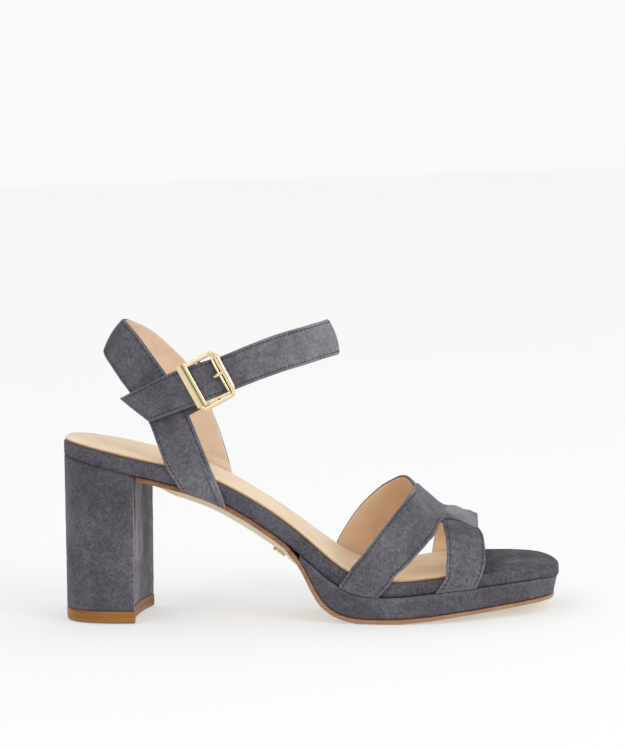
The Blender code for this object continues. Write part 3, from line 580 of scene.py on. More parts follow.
class Shade:
    """A material and short calls for its nodes."""

    def __init__(self, name, **shader):
        self.made = bpy.data.materials.new(name)
        self.made.use_nodes = True
        self.tree = self.made.node_tree
        self.shader = self.tree.nodes["Principled BSDF"]
        for key, value in shader.items():
            self.shader.inputs[key.replace("_", " ")].default_value = value
        self.where = self.tree.nodes.new("ShaderNodeTexCoord").outputs["Object"]

    def put(self, socket, target):
        if isinstance(socket, (int, float)):
            target.default_value = socket
        elif isinstance(socket, tuple):
            target.default_value = socket
        else:
            self.tree.links.new(socket, target)

    def noise(self, scale, detail=3.0, rough=0.55, distortion=0.0, vector=None, stretch=None):
        node = self.tree.nodes.new("ShaderNodeTexNoise")
        node.inputs["Scale"].default_value = scale
        node.inputs["Detail"].default_value = detail
        node.inputs["Roughness"].default_value = rough
        node.inputs["Distortion"].default_value = distortion
        self.put(self.stretched(vector or self.where, stretch) if stretch else (vector or self.where), node.inputs["Vector"])
        return node.outputs["Fac"]

    def stretched(self, vector, scale):
        node = self.tree.nodes.new("ShaderNodeMapping")
        node.inputs["Scale"].default_value = scale
        self.put(vector, node.inputs["Vector"])
        return node.outputs["Vector"]

    def cells(self, scale, feature="DISTANCE_TO_EDGE", vector=None):
        node = self.tree.nodes.new("ShaderNodeTexVoronoi")
        node.feature = feature
        node.inputs["Scale"].default_value = scale
        self.put(vector or self.where, node.inputs["Vector"])
        return node.outputs["Distance"]

    def math(self, kind, a, b=0.0, clamp=False):
        node = self.tree.nodes.new("ShaderNodeMath")
        node.operation = kind
        node.use_clamp = clamp
        self.put(a, node.inputs[0])
        self.put(b, node.inputs[1])
        return node.outputs[0]

    def attribute(self, name):
        node = self.tree.nodes.new("ShaderNodeAttribute")
        node.attribute_name = name
        return node.outputs["Fac"]

    def ramp(self, value, *stops):
        node = self.tree.nodes.new("ShaderNodeValToRGB")
        elements = node.color_ramp.elements
        for i, (at, colour) in enumerate(stops):
            element = elements[i] if i < 2 else elements.new(at)
            element.position = at
            element.color = (*colour, 1) if len(colour) == 3 else colour
        self.put(value, node.inputs["Fac"])
        return node.outputs["Color"]

    def mix(self, factor, a, b, blend="MIX"):
        node = self.tree.nodes.new("ShaderNodeMix")
        node.data_type = "RGBA"
        node.blend_type = blend
        self.put(factor, node.inputs["Factor"])
        self.put(a if not isinstance(a, tuple) else (*a, 1), node.inputs["A"])
        self.put(b if not isinstance(b, tuple) else (*b, 1), node.inputs["B"])
        return node.outputs["Result"]

    def bump(self, height, strength, distance, below=None):
        node = self.tree.nodes.new("ShaderNodeBump")
        node.inputs["Strength"].default_value = strength
        node.inputs["Distance"].default_value = distance
        self.put(height, node.inputs["Height"])
        if below is not None:
            self.put(below, node.inputs["Normal"])
        return node.outputs["Normal"]

    def colour(self, socket):
        self.put(socket, self.shader.inputs["Base Color"])

    def normal(self, socket):
        self.put(socket, self.shader.inputs["Normal"])

    def roughness(self, socket):
        self.put(socket, self.shader.inputs["Roughness"])


def suede(name="Slate_suede", sheen=0.16):
    m = Shade(name, Specular_IOR_Level=0.12 if sheen > 0.1 else 0.05, Sheen_Weight=sheen, Sheen_Roughness=0.5, Sheen_Tint=(0.85, 0.84, 0.88, 1))
    suede_tone = m.noise(950, 5.0, 0.8, 0.5)
    fibre = m.noise(420, 3.0, 0.65, 1.0)
    patch = m.noise(120, 3.0, 0.55, 1.2)
    sweep = m.noise(38, 2.0, 0.5, 1.0)
    value = m.math("MULTIPLY", suede_tone, 1.5)
    value = m.math("ADD", value, m.math("MULTIPLY", fibre, 0.55))
    value = m.math("ADD", value, m.math("MULTIPLY", patch, 0.38))
    value = m.math("ADD", value, m.math("MULTIPLY", sweep, 0.30))
    value = m.math("ADD", value, m.math("MULTIPLY", m.attribute("tone"), 0.42))
    value = m.math("ADD", value, -0.905, clamp=True)
    m.colour(
        m.ramp(
            value,
            (0.0, (0.030, 0.028, 0.034)),
            (1.0, (0.230, 0.222, 0.246)),
            (0.25, (0.062, 0.058, 0.069)),
            (0.5, (0.098, 0.092, 0.108)),
            (0.75, (0.150, 0.143, 0.163)),
        )
    )
    m.roughness(0.95)
    low = m.bump(m.noise(900, 4.0, 0.7, 0.5), 0.55, 0.0003)
    m.normal(m.bump(m.noise(2600, 2.0, 0.6), 0.35, 0.00012, low))
    return m.made


def lining(name, colour, deep, pale):
    m = Shade(name, Specular_IOR_Level=0.35)
    cloud = m.noise(60, 3.0, 0.5, 0.6)
    grain = m.noise(700, 4.0, 0.65)
    tone = m.attribute("tone")
    value = m.math("ADD", m.math("MULTIPLY", cloud, 0.65), m.math("MULTIPLY", grain, 0.25))
    value = m.math("ADD", value, m.math("MULTIPLY", tone, 0.6), clamp=True)
    m.colour(m.ramp(value, (0.12, deep), (0.85, pale), (0.46, colour)))
    m.roughness(m.math("ADD", m.math("MULTIPLY", grain, 0.2), 0.46))
    pores = m.cells(1500)
    fine = m.bump(pores, 0.18, 0.00008)
    m.normal(m.bump(m.noise(240, 4.0, 0.6), 0.16, 0.0003, fine))
    return m.made


def thread():
    m = Shade("Dark_thread", Specular_IOR_Level=0.2)
    m.colour(m.ramp(m.noise(2400, 2.0, 0.5, stretch=(1, 1, 3)), (0.2, (0.018, 0.017, 0.023)), (0.8, (0.052, 0.050, 0.064))))
    m.roughness(0.85)
    m.normal(m.bump(m.noise(5200, 1.0, 0.5), 0.5, 0.0001))
    return m.made


def sole_edge():
    m = Shade("Tan_sole_edge", Specular_IOR_Level=0.4, Coat_Weight=0.12, Coat_Roughness=0.35)
    layers = m.noise(90, 3.0, 0.6, 0.3, stretch=(0.6, 0.6, 9.0))
    grain = m.noise(850, 3.0, 0.6)
    value = m.math("ADD", m.math("MULTIPLY", layers, 0.8), m.math("MULTIPLY", grain, 0.2))
    value = m.math("ADD", value, m.math("MULTIPLY", m.attribute("tone"), 0.5), clamp=True)
    m.colour(m.ramp(value, (0.15, (0.13, 0.050, 0.022)), (0.9, (0.56, 0.33, 0.185)), (0.42, (0.29, 0.140, 0.068)), (0.62, (0.38, 0.20, 0.105))))
    m.roughness(0.42)
    m.normal(m.bump(value, 0.25, 0.0002))
    return m.made


def sole_leather():
    m = Shade("Pale_sole_leather", Specular_IOR_Level=0.4)
    cloud = m.noise(55, 4.0, 0.55, 0.6)
    scuff = m.noise(210, 4.0, 0.65, 0.4, stretch=(0.25, 1.6, 1.0))
    value = m.math("ADD", m.math("MULTIPLY", cloud, 0.6), m.math("MULTIPLY", scuff, 0.35))
    value = m.math("ADD", value, m.math("MULTIPLY", m.attribute("tone"), 0.7), clamp=True)
    m.colour(m.ramp(value, (0.1, (0.36, 0.20, 0.10)), (0.92, (0.82, 0.71, 0.56)), (0.38, (0.56, 0.37, 0.21)), (0.6, (0.70, 0.55, 0.38))))
    m.roughness(m.math("ADD", m.math("MULTIPLY", scuff, 0.25), 0.34))
    m.normal(m.bump(m.noise(650, 4.0, 0.65), 0.15, 0.0002))
    return m.made


def heel_top():
    m = Shade("Amber_top_piece", Specular_IOR_Level=0.25, Coat_Weight=0.04, Coat_Roughness=0.3)
    layers = m.noise(70, 3.0, 0.6, 0.2, stretch=(0.5, 0.5, 8.0))
    speck = m.noise(1100, 3.0, 0.6)
    value = m.math("ADD", m.math("MULTIPLY", layers, 0.7), m.math("MULTIPLY", speck, 0.3))
    value = m.math("ADD", value, m.math("MULTIPLY", m.attribute("tone"), 0.5), clamp=True)
    m.colour(m.ramp(value, (0.15, (0.17, 0.068, 0.012)), (0.9, (0.45, 0.215, 0.058)), (0.5, (0.31, 0.138, 0.028))))
    m.roughness(0.44)
    m.normal(m.bump(value, 0.2, 0.0002))
    return m.made


def gold(name="Pale_gold", roughness=0.13, colour=(0.90, 0.73, 0.47)):
    m = Shade(name, Metallic=1.0)
    cloud = m.noise(220, 3.0, 0.5)
    m.colour(m.ramp(cloud, (0.2, tuple(c * 0.93 for c in colour)), (0.8, tuple(min(c * 1.05, 1) for c in colour))))
    scratch = m.noise(900, 3.0, 0.6, 0.2, stretch=(0.2, 1.0, 2.5))
    m.roughness(m.math("ADD", m.math("MULTIPLY", scratch, 0.06), roughness - 0.03))
    m.normal(m.bump(m.noise(260, 2.0, 0.5), 0.03, 0.0002))
    return m.made


SUEDE = suede()
BOARD_SUEDE = suede("Slate_suede_board", 0.04)
BAND_LINING = lining("Peach_lining", (0.770, 0.580, 0.440), (0.64, 0.45, 0.32), (0.86, 0.70, 0.56))
VAMP_LINING = lining("Tan_lining", (0.790, 0.555, 0.370), (0.66, 0.43, 0.27), (0.87, 0.69, 0.52))
SOCK_LEATHER = lining("Cream_sock", (0.800, 0.655, 0.465), (0.68, 0.50, 0.32), (0.86, 0.745, 0.575))
SOCK_EDGE = lining("Sock_cut_edge", (0.42, 0.235, 0.12), (0.30, 0.15, 0.07), (0.60, 0.40, 0.24))
THREAD = thread()
SOLE_EDGE = sole_edge()
SOLE_LEATHER = sole_leather()
HEEL_TOP = heel_top()
GOLD = gold()
GOLD_FLAT = gold("Pale_gold_flat", 0.2, (0.83, 0.70, 0.42))


# ---- sole ---------------------------------------------------------------------------------------------


def zero(x):
    return np.zeros_like(np.asarray(x, float))


def build_footbed():
    a, b = plan_loop(0.0, 231.0, zero, 330, 6)

    def top(x, y):
        return footbed_top(x) - (SOCK + GAP) * slope_factor(footbed_top, x) * (1 - step01(x, 189.3, 191.5) * 0.85)

    def low(x, y):
        return board_under(x)

    def ripple(p, inset):
        q = np.column_stack([p, footbed_top(p[:, 0])])
        return 0.10 * wobble(q, 9.0, 1.0) + 0.05 * wobble(q, 3.1, 2.0) - 0.14

    points, faces, kinds = shell(a, b, rounded(0.5, 2.2, low, top, 8), top, low, 16, ripple)
    tone = 0.25 * wobble(points, 16.0, 3.0)
    x, z = points[:, 0], points[:, 2]
    up = step01(z - footbed_top(x), -1.9, -0.7) * step01(x, 188, 191)
    brushed = wobble(points * np.array([0.3, 1.0, 1.0]), 2.4, 2.0)
    # painted shade on the toe's top face, paler towards the toe front as a painted highlight, with brush marks over it
    tone += (-0.50 + 0.42 * step01(x, 200, 214) + 0.50 * brushed) * up
    tone -= 0.40 * bump_at(z - board_under(x), 0.2, 0.9)
    # painted shade beside the front strap, and brushed stripes towards the toe
    tone -= 0.35 * bump_at(x, 195, 6) * up
    tone += 0.14 * np.sin(x * 1.3 + points[:, 1] * 0.35 + 1.2 * np.sin(points[:, 1] * 0.3)) * up * bump_at(x, 204, 10)
    obj = mesh_piece("covered_board", points, faces, [BOARD_SUEDE], None, tone)
    finish_piece(obj, "suede", "footbed")


def build_sock():
    a, b = plan_loop(1.5, 189.0, lambda x: zero(x) - 1.15, 300, 4)

    def top(x, y):
        y0, y1 = outer(x) + 1.15, inner(x) - 1.15
        edge = np.minimum(y - y0, y1 - y)
        return footbed_top(x) + 0.25 * step01(edge, 0.0, 7.0) * (1 - step01(x, 176, 189)) - 0.05

    def low(x, y):
        return footbed_top(x) - (SOCK + GAP * 0.7) * slope_factor(footbed_top, x)

    layers = [
        (0.12, low),
        (0.0, lambda x, y: low(x, y) + 0.12),
        (0.0, lambda x, y: low(x, y) * 0.5 + top(x, y) * 0.5),
        (0.05, lambda x, y: top(x, y) - 0.16),
        (0.18, lambda x, y: top(x, y) - 0.05),
        (0.45, top),
        (1.1, top),
    ]
    points, faces, kinds = shell(a, b, layers, top, low, 22)
    x = points[:, 0]
    tone = 0.10 * wobble(points, 26.0, 5.0) - 0.10 * bump_at(x, 10, 9)
    n = 2 * len(a) - 2
    ring_kind = np.zeros(len(faces), int)
    ring_kind[: n * 4] = 1
    obj = mesh_piece("cream_sock", points, faces, [SOCK_LEATHER, SOCK_EDGE], ring_kind, tone)
    finish_piece(obj, "sock", "insole_sock")


def build_platform():
    a, b = plan_loop(111.4, 230.3, stand_out, 260, 3, reach=lambda x: x + 0.6 * np.clip((x - 200) / 30.3, 0, 1))

    def top(x, y):
        return board_under(x) - GAP * slope_factor(footbed_top, x)

    def low(x, y):
        return np.minimum(sole_top(x) + GAP * slope_factor(sole_top, x), top(x, y) - 0.05)

    def draft(share):
        """How far the side draws in below its top edge, towards the toe."""
        return lambda loop: 1.9 * share * step01(loop[:, 0], 200, 228) + 0.12 * math.sin(math.pi * share)

    def height(x):
        return np.maximum(top(x, 0) - low(x, 0), 0.05)

    layers = []
    for share, inset in ((0.0, 0.5), (0.02, 0.15), (0.06, 0.0), (0.2, 0.0), (0.4, 0.0), (0.6, 0.0), (0.8, 0.0), (0.92, 0.0), (0.96, 0.12), (0.99, 0.4), (1.0, 0.9)):
        layers.append(
            (
                lambda loop, share=share, inset=inset: inset + draft(1 - share)(loop),
                lambda x, y, share=share: low(x, y) + height(x) * share,
            )
        )

    def ripple(p, inset):
        q = np.column_stack([p, zero(p[:, 0])])
        return 0.08 * wobble(q, 11.0, 7.0) - 0.1

    points, faces, kinds = shell(a, b, layers, top, low, 10, ripple)
    tone = 0.3 * wobble(points, 15.0, 8.0) - 0.10
    share = (points[:, 2] - low(points[:, 0], 0)) / height(points[:, 0])
    tone += 0.22 * bump_at(share, 0.93, 0.08) - 0.35 * bump_at(share, 0.0, 0.05)
    obj = mesh_piece("covered_platform", points, faces, [SUEDE], None, tone)
    finish_piece(obj, "suede", "platform")


def build_outsole():
    start = SEAT_END + 2.6
    cut = lambda y: breast(y) + GAP + 0.2
    a, b = plan_loop(start, 229.2, stand_out, 420, 3, start=cut, reach=lambda x: x + 1.7 * np.clip((x - 200) / 29.2, 0, 1))

    def half(x):
        side = stand_out(x)
        return outer(x) - side, inner(x) + side

    def swell(x, y):
        y0, y1 = half(x)
        u = np.clip(2 * (y - y0) / (y1 - y0) - 1, -1, 1)
        lengthwise = np.clip((x - start) / 14, 0.3, 1) * np.clip((118 - x) / 12, 0, 1)
        return BELLY * lengthwise * (1 - u * u)

    def top(x, y):
        return sole_top(x)

    def low(x, y):
        return sole_under(x)

    def under(x, y):
        return sole_under(x) - swell(x, y)

    def height(x):
        return np.maximum(top(x, 0) - low(x, 0), 0.05)

    def draft(loop):
        return 0.9 * step01(loop[:, 0], 200, 228)

    layers = []
    for inset, share in ((2.2, -1), (0.9, -0.5), (0.35, 0.0), (0.12, 0.08), (0.0, 0.22), (0.0, 0.5), (0.0, 0.78), (0.1, 0.92), (0.3, 1.0)):
        if share < 0:
            layers.append((lambda loop, inset=inset: inset + draft(loop), under))
        else:
            layers.append((lambda loop, inset=inset: inset + draft(loop), lambda x, y, share=share: low(x, y) + height(x) * share))
    points, faces, kinds = shell(a, b, layers, top, under, 18)
    n = 2 * len(a) - 2
    kind = np.zeros(len(faces), int)
    kind[: n * 2] = 1
    kind[np.array(kinds) == 2] = 1
    x, z = points[:, 0], points[:, 2]
    share = (z - low(x, 0)) / height(x)
    tone = 0.15 * wobble(points, 20.0, 9.0)
    side = (share > -0.02) & (share < 1.02)
    tone = np.where(side, tone - 0.35 * bump_at(share, 1.0, 0.25), tone)
    tone = np.where(side & (x > 115), tone + 0.14, tone)
    tone = np.where(side & (x < 108), tone - 0.30, tone)
    under_waist = (~side) & (x < 117)
    tone = np.where(under_waist, tone + 0.40, tone)
    tone = np.where((~side) & (x >= 117), tone - 0.35, tone)
    obj = mesh_piece("tan_outsole", points, faces, [SOLE_EDGE, SOLE_LEATHER], kind, tone)
    finish_piece(obj, "outsole", "outsole")


# ---- heel ---------------------------------------------------------------------------------------------


def heel_loop(h, inset=0.0):
    """Plan of the heel at height share h, resampled evenly, with the corners of its breast rounded."""
    near, far = 34.2 + 2.0 * h, 36.8 + 1.4 * h
    back = -1.7 + 1.7 * h + inset
    outer_scale, inner_scale = 0.905 + 0.095 * h, 0.87 + 0.13 * h
    ring = []
    for t in np.linspace(0, 1, 41):
        y = -26.9 * outer_scale * (1 - t) + 29.4 * inner_scale * t
        x = near * (1 - t) + far * t - 3.0 * (1 - (2 * t - 1) ** 2)
        ring.append((x - inset, y + inset * (1 - 2 * t)))
    arc = [36.0 * (1 - math.sin(v)) for v in np.linspace(0, math.pi / 2, 60)]
    for x in arc[1:]:
        ring.append((back + x / 36.5 * (far - back - inset), (float(inner(x)) - inset) * inner_scale))
    for x in arc[::-1][:-1]:
        ring.append((back + x / 36.5 * (near - back - inset), (float(outer(x)) + inset) * outer_scale))
    ring.append(ring[0])
    loop = smooth_closed(resample(ring, 281)[:-1], 3)
    return soft_ends(loop, 1 - step01(loop[:, 0], 10, 26))


def build_heel():
    count = 280
    levels = [0.0, 0.004, 0.012] + list(np.linspace(0.03, 0.97, 60)) + [0.985, 0.995, 1.0]
    points, tones = [], []
    for h in levels:
        loop = heel_loop(h)
        n = plan_normals(loop)
        t = (loop[:, 1] + 26.9) / 56.3
        index = np.arange(count)
        on_breast = loop[:, 0] > 30.2 + 2.0 * h
        on_breast &= np.abs(n[:, 0]) > 0.75
        y = loop[:, 1]
        fold = (
            0.32 * bump_at(y + 1.6 * math.sin(2.2 * h), -20.5, 1.4)
            - 0.30 * bump_at(y, -17.6, 1.3)
            + 0.30 * bump_at(y + 1.2 * math.sin(3.1 * h + 1), -13.0, 2.0)
            - 0.34 * bump_at(y - 0.8 * math.sin(4.0 * h), -7.4, 1.6)
            + 0.24 * bump_at(y, 0.5, 3.0)
            - 0.28 * bump_at(y + 1.0 * math.sin(2.6 * h), 7.5, 2.0)
            + 0.26 * bump_at(y, 15.0, 2.6)
        )
        fold = fold * (0.35 + 0.65 * math.sin(math.pi * min(max(h, 0.0), 1.0)) ** 0.6)
        push = np.where(on_breast, fold - 0.15, 0.0)
        q = np.column_stack([loop, np.full(count, 80.0 * h)])
        push = push + 0.12 * wobble(q, 12.0, 4.0) + 0.05 * wobble(q, 4.0, 6.0) - 0.16
        if h < 0.01:
            push = push - 0.25 * (1 - h / 0.01)
        if h > 0.985:
            push = push - 0.35 * ((h - 0.985) / 0.015) ** 2
        loop = loop + n * push[:, None]
        top = board_under(loop[:, 0]) - GAP * 0.7
        low = HEEL_TIP + GAP * 0.5
        points.append(np.column_stack([loop, low + (top - low) * h]))
        tone = 0.28 * wobble(q, 17.0, 2.0) + 0.12 * wobble(q, 6.0, 3.0)
        # streaks on the breast follow its folds: partly brush marks and partly painted light and shade, pale near its
        # outer corner
        middle = float(step01(h, 0.22, 0.42) * (1 - step01(h, 0.90, 0.98)))
        sway = 1.5 * math.sin(5.5 * h) + 0.6 * math.sin(17 * h)
        streak = (
            0.85 * bump_at(y, -22.0, 3.4)
            - 0.55 * bump_at(y + 0.5 * sway, -14.5, 2.6)
            + (0.35 + 0.8 * middle) * bump_at(y + sway, -1.5, 3.6)
            - middle * 0.85 * bump_at(y + sway, -7.4, 1.5)
            + middle * 0.8 * bump_at(y - 0.7 * sway, 8.5, 2.4)
            - 0.40 * bump_at(y, 17.0, 4.0)
            + 0.30 * bump_at(y, 24.0, 2.2)
        )
        rubbed = 0.5 * wobble(q * np.array([1.0, 0.7, 1.0]), 3.6, 8.0)
        # painted shadow along the breast's top, under the outsole
        tone = np.where(on_breast, 1.15 * streak + 0.8 * rubbed + 0.34 - 1.1 * float(step01(h, 0.93, 0.985)), tone)
        # painted highlight on the breast's near corner
        corner = bump_at(np.hypot(loop[:, 0] - (34.0 + 2.0 * h), loop[:, 1] + 24.6), 0.0, 1.6)
        tone = tone + 0.35 * corner
        tone = tone - 0.35 * (h > 0.985) - 0.4 * (h < 0.01)
        tones.append(tone)
    points, tones = np.vstack(points), np.concatenate(tones)
    rows = len(levels)
    faces = []
    for i in range(rows - 1):
        for k in range(count):
            m = (k + 1) % count
            faces.append((i * count + k, i * count + m, (i + 1) * count + m, (i + 1) * count + k))
    points = list(points)
    fan_cap(points, faces, 0, count, False)
    fan_cap(points, faces, (rows - 1) * count, count, True)
    tones = np.concatenate([tones, np.full(len(points) - len(tones), -0.4)])
    obj = mesh_piece("covered_heel", points, faces, [SUEDE], None, tones)
    finish_piece(obj, "suede", "heel")

    points = []
    levels = [(0.0, 0.7), (0.1, 0.45), (0.4, 0.22), (0.9, 0.08), (1.8, 0.02), (3.0, 0.0), (3.05, 0.06), (3.2, 0.06), (3.25, 0.0), (4.6, 0.0), (HEEL_TIP - 0.25, 0.05), (HEEL_TIP, 0.3)]
    for z, inset in levels:
        loop = heel_loop(0.0, 0.0)
        n = plan_normals(loop)
        loop = loop - n * inset
        points.append(np.column_stack([loop, np.full(count, z)]))
    points = np.vstack(points)
    faces = []
    for i in range(len(levels) - 1):
        for k in range(count):
            m = (k + 1) % count
            faces.append((i * count + k, i * count + m, (i + 1) * count + m, (i + 1) * count + k))
    points = list(points)
    fan_cap(points, faces, 0, count, False)
    fan_cap(points, faces, (len(levels) - 1) * count, count, True)
    points = np.array(points)
    tone = 0.12 * wobble(points, 15.0, 1.0) - 0.3 * bump_at(points[:, 2], 0.0, 0.4) + 0.2 * bump_at(points[:, 2], 1.2, 0.7) - 0.4 * bump_at(points[:, 2], HEEL_TIP, 0.3)
    # painted shade on the top piece's breast face, under the heel's hollow
    across = (points[:, 1] + 24.3) / 49.9
    hollow = 34.2 + 2.6 * across - 3.0 * (1 - (2 * across - 1) ** 2)
    tone = tone - 0.55 * (np.abs(points[:, 0] - hollow) < 1.3) * (points[:, 1] > -23.3)
    obj = mesh_piece("amber_top_piece", points, faces, [HEEL_TOP], None, tone)
    finish_piece(obj, "heel_tip", "heel_tip")


# ---- straps -------------------------------------------------------------------------------------------


def on_last(x, angle, off):
    """A point on the last over the vamp, pushed out by off. Angle 0 is the outer feather line, 180 the inner one."""
    turn = math.radians(min(max(angle, 0.0), 180.0))
    y0, y1 = outer(x) - off * slope_factor(outer, x), inner(x) + off * slope_factor(inner, x)
    mid, half = (y0 + y1) / 2, (y1 - y0) / 2
    cos, sin = -math.cos(turn), math.sin(turn)
    base = footbed_top(x) - 1.0
    y = mid + half * math.copysign(abs(cos) ** 0.92, cos) + 2.5 * sin
    fullness = 0.84 + 0.10 * cos
    z = base + (crown(x) - base + off) * max(sin, 0.0) ** fullness
    foot = (max(-angle, 0.0) + max(angle - 180, 0.0)) / 7.0
    z -= foot * (base - board_under(x))
    return np.array([float(x), float(y), float(z)])


LOWER_REAR, LOWER_FRONT = curve_of(STRAP_B, 1), curve_of(STRAP_B, 2)
UPPER = [curve_of([(i, *row) for i, row in enumerate(STRAP_A)], c) for c in (1, 2, 3, 4)]


def rise(x, angle):
    """How far the upper vamp strap is lifted where it lies over the lower one."""
    angle = min(max(angle, -7.0), 187.0)
    on = min(max((x - (float(LOWER_REAR(angle)) - 7.0)) / 5.0, 0.0), 1.0)
    past = min(max((x - (float(LOWER_FRONT(angle)) + 1.0)) / 5.0, 0.0), 1.0)
    return STRAP_LIFT * on * on * (3 - 2 * on) * (1 - past * past * (3 - 2 * past))


def upper_vamp():
    rows_seen = {}

    def surface(s, t):
        s = float(s)
        if s not in rows_seen:
            rows_seen[s] = [float(c(s)) for c in UPPER]
        rear_x, rear_angle, front_x, front_angle = rows_seen[s]
        x, angle = front_x + (rear_x - front_x) * t, front_angle + (rear_angle - front_angle) * t
        return on_last(x, angle, GAP + WALL + rise(x, angle))

    return surface


def lower_vamp():
    rows_seen = {}

    def surface(s, t):
        s = float(s)
        if s not in rows_seen:
            rows_seen[s] = float(LOWER_REAR(s)), float(LOWER_FRONT(s))
        rear, front = rows_seen[s]
        return on_last(front + (rear - front) * t, s, GAP + WALL)

    return surface


def build_vamp():
    last = len(STRAP_A) - 1

    def relief_over(s, e, w, p):
        soft = 0.10 * wobble(p, 8.0, 1.5) * np.clip(e / 2.0, 0, 1)
        foot = 0.25 * bump_at(s, 0.5, 0.6) * np.clip(e / 3.0, 0, 1) * np.cos(e * 0.9)
        # soft folds where the strap turns down over the front of the lower one
        fold = (
            0.30 * bump_at(p[:, 0] - 0.9 * (57 - p[:, 2]), 176.0, 2.2)
            - 0.30 * bump_at(p[:, 0] - 0.9 * (57 - p[:, 2]), 180.5, 1.8)
            + 0.16 * bump_at(p[:, 0] - 0.7 * (57 - p[:, 2]), 186.0, 1.6)
        )
        # the front edge sinks into the lower strap where it runs over it
        sunk = -0.95 * over_front(s, e, p) * (1 - step01(e, 1.0, 4.2))
        return soft + foot + fold * bump_at(s, 12.2, 1.6) * np.clip(e / 1.5, 0.1, 1) + sunk

    def over_front(s, e, p):
        front = np.arange(np.size(e)) <= np.size(e) // 2
        return float(step01(s, 9.0, 10.6) * (1 - step01(s, 15.2, 16.6))) * front

    def plain_over(s, t):
        return np.where(t < 0.5, float(step01(s, 8.2, 9.0) * (1 - step01(s, 16.0, 17.0))), 0.0)

    def tone_over(s, t, e, w, p):
        suede_tone = 0.30 * wobble(p, 13.0, 2.5) + 0.14 * wobble(p, 5.0, 4.0)
        suede_tone = suede_tone + 0.30 * bump_at(s, 10.0, 2.2) * t + 0.22 * bump_at(s, 1.0, 1.4) - 0.14 * bump_at(s, 7.0, 2.0)
        # painted light: the part that faces up is paler, with a soft diagonal limit, and a painted highlight runs along
        # its top ridge
        above = p[:, 2] - (crown(p[:, 0]) + 3.3 - 0.36 * (p[:, 0] - 179.0))
        lit = step01(above, -1.1, 0.9) * step01(p[:, 0], 177.2, 180.4) * (1 - 0.7 * step01(s, 12.5, 15.0))
        patch = 0.25 * wobble(p, 3.4, 1.0) * lit
        crest_highlight = 0.30 * bump_at(above, 0.2, 0.8) * step01(p[:, 0], 181.0, 186.0)
        # painted shade along the front edge where it sinks over the lower strap
        return suede_tone + 1.10 * lit + patch + crest_highlight - 0.25 * over_front(s, e, p) * bump_at(e, 0.0, 0.5)

    over, seam, _ = strap_piece("vamp_strap_over", upper_vamp(), (0, last), 260, [SUEDE, VAMP_LINING], relief_over, tone_over, plain=plain_over)
    finish_piece(over, "suede", "vamp_straps")
    line, nrm, length, first, last_at = seam(1.5, 1.5, -1.5, 0)
    at_row = np.linspace(0, last, len(length))
    rows = [
        (line, nrm, length, first, float(np.interp(8.5, at_row, length))),
        (line, nrm, length, float(np.interp(16.8, at_row, length)), last_at),
        seam(1.5, 1.5, -1.5, 1),
    ]
    finish_piece(stitches("stitches_vamp_over", rows, [THREAD]), "suede")

    def relief_under(s, e, w, p):
        soft = 0.10 * wobble(p, 8.0, 3.5) * np.clip(e / 2.0, 0, 1)
        pull = -0.22 * bump_at(s, 50.0, 4.0) * np.clip(e / 3.0, 0, 1)
        foot = 0.25 * bump_at(s, -3.0, 3.0) * np.clip(e / 3.0, 0, 1) * np.cos(e * 0.8 + 1)
        return soft + pull + foot

    def tone_under(s, t, e, w, p):
        suede_tone = 0.30 * wobble(p, 13.0, 5.5) + 0.14 * wobble(p, 5.0, 6.0)
        # painted shade on the lower strap just below the upper strap's front edge, around angle 50
        return suede_tone + 0.30 * bump_at(s, 6, 13) - 0.42 * bump_at(s, 50, 13) + 0.3 * bump_at(s, 150, 20) + 0.10 * np.sin(p[:, 2] * 1.9 + p[:, 0] * 0.5)

    under, seam, _ = strap_piece("vamp_strap_under", lower_vamp(), (-7.0, 187.0), 200, [SUEDE, VAMP_LINING], relief_under, tone_under)
    finish_piece(under, "suede")
    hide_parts("vamp_straps")
    rows = [seam(1.5, 1.5, -1.5, 0), seam(1.5, 1.5, -1.5, 1)]
    finish_piece(stitches("stitches_vamp_under", rows, [THREAD]), "suede")


def table_surface(rows, bow, push=0.0, settle=None):
    """surface(s, t) between the two edges of a table, pushed out and bowed along its middle, cached by row."""
    index = [(i, *row) for i, row in enumerate(rows)]
    edges = [curve_of(index, c + 1) for c in range(6)]
    rows_seen = {}

    def line(s):
        if s not in rows_seen:
            low = np.array([float(edges[c](s)) for c in range(3)])
            high = np.array([float(edges[c](s)) for c in range(3, 6)])
            ahead = np.array([float(edges[c](s + 0.05) + edges[c + 3](s + 0.05)) for c in range(3)])
            behind = np.array([float(edges[c](s - 0.05) + edges[c + 3](s - 0.05)) for c in range(3)])
            out = np.cross(ahead - behind, high - low)
            rows_seen[s] = low, high, out / np.linalg.norm(out)
        return rows_seen[s]

    def surface(s, t):
        low, high, out = line(float(s))
        p = low + (high - low) * t + out * (push + bow * 4 * t * (1 - t))
        return settle(p) if settle is not None else p

    return surface


def clear_of_board(p):
    x, y, z = p
    near = min(max((float(footbed_top(x)) + 3.0 - z) / 5.0, 0.0), 1.0)
    if y < 0:
        y = y * (1 - near) + (float(outer(x)) - (GAP + WALL + 0.1) * float(slope_factor(outer, x))) * near
    else:
        y = y * (1 - near) + (float(inner(x)) + (GAP + WALL + 0.1) * float(slope_factor(inner, x))) * near
    return np.array([x, y, z])


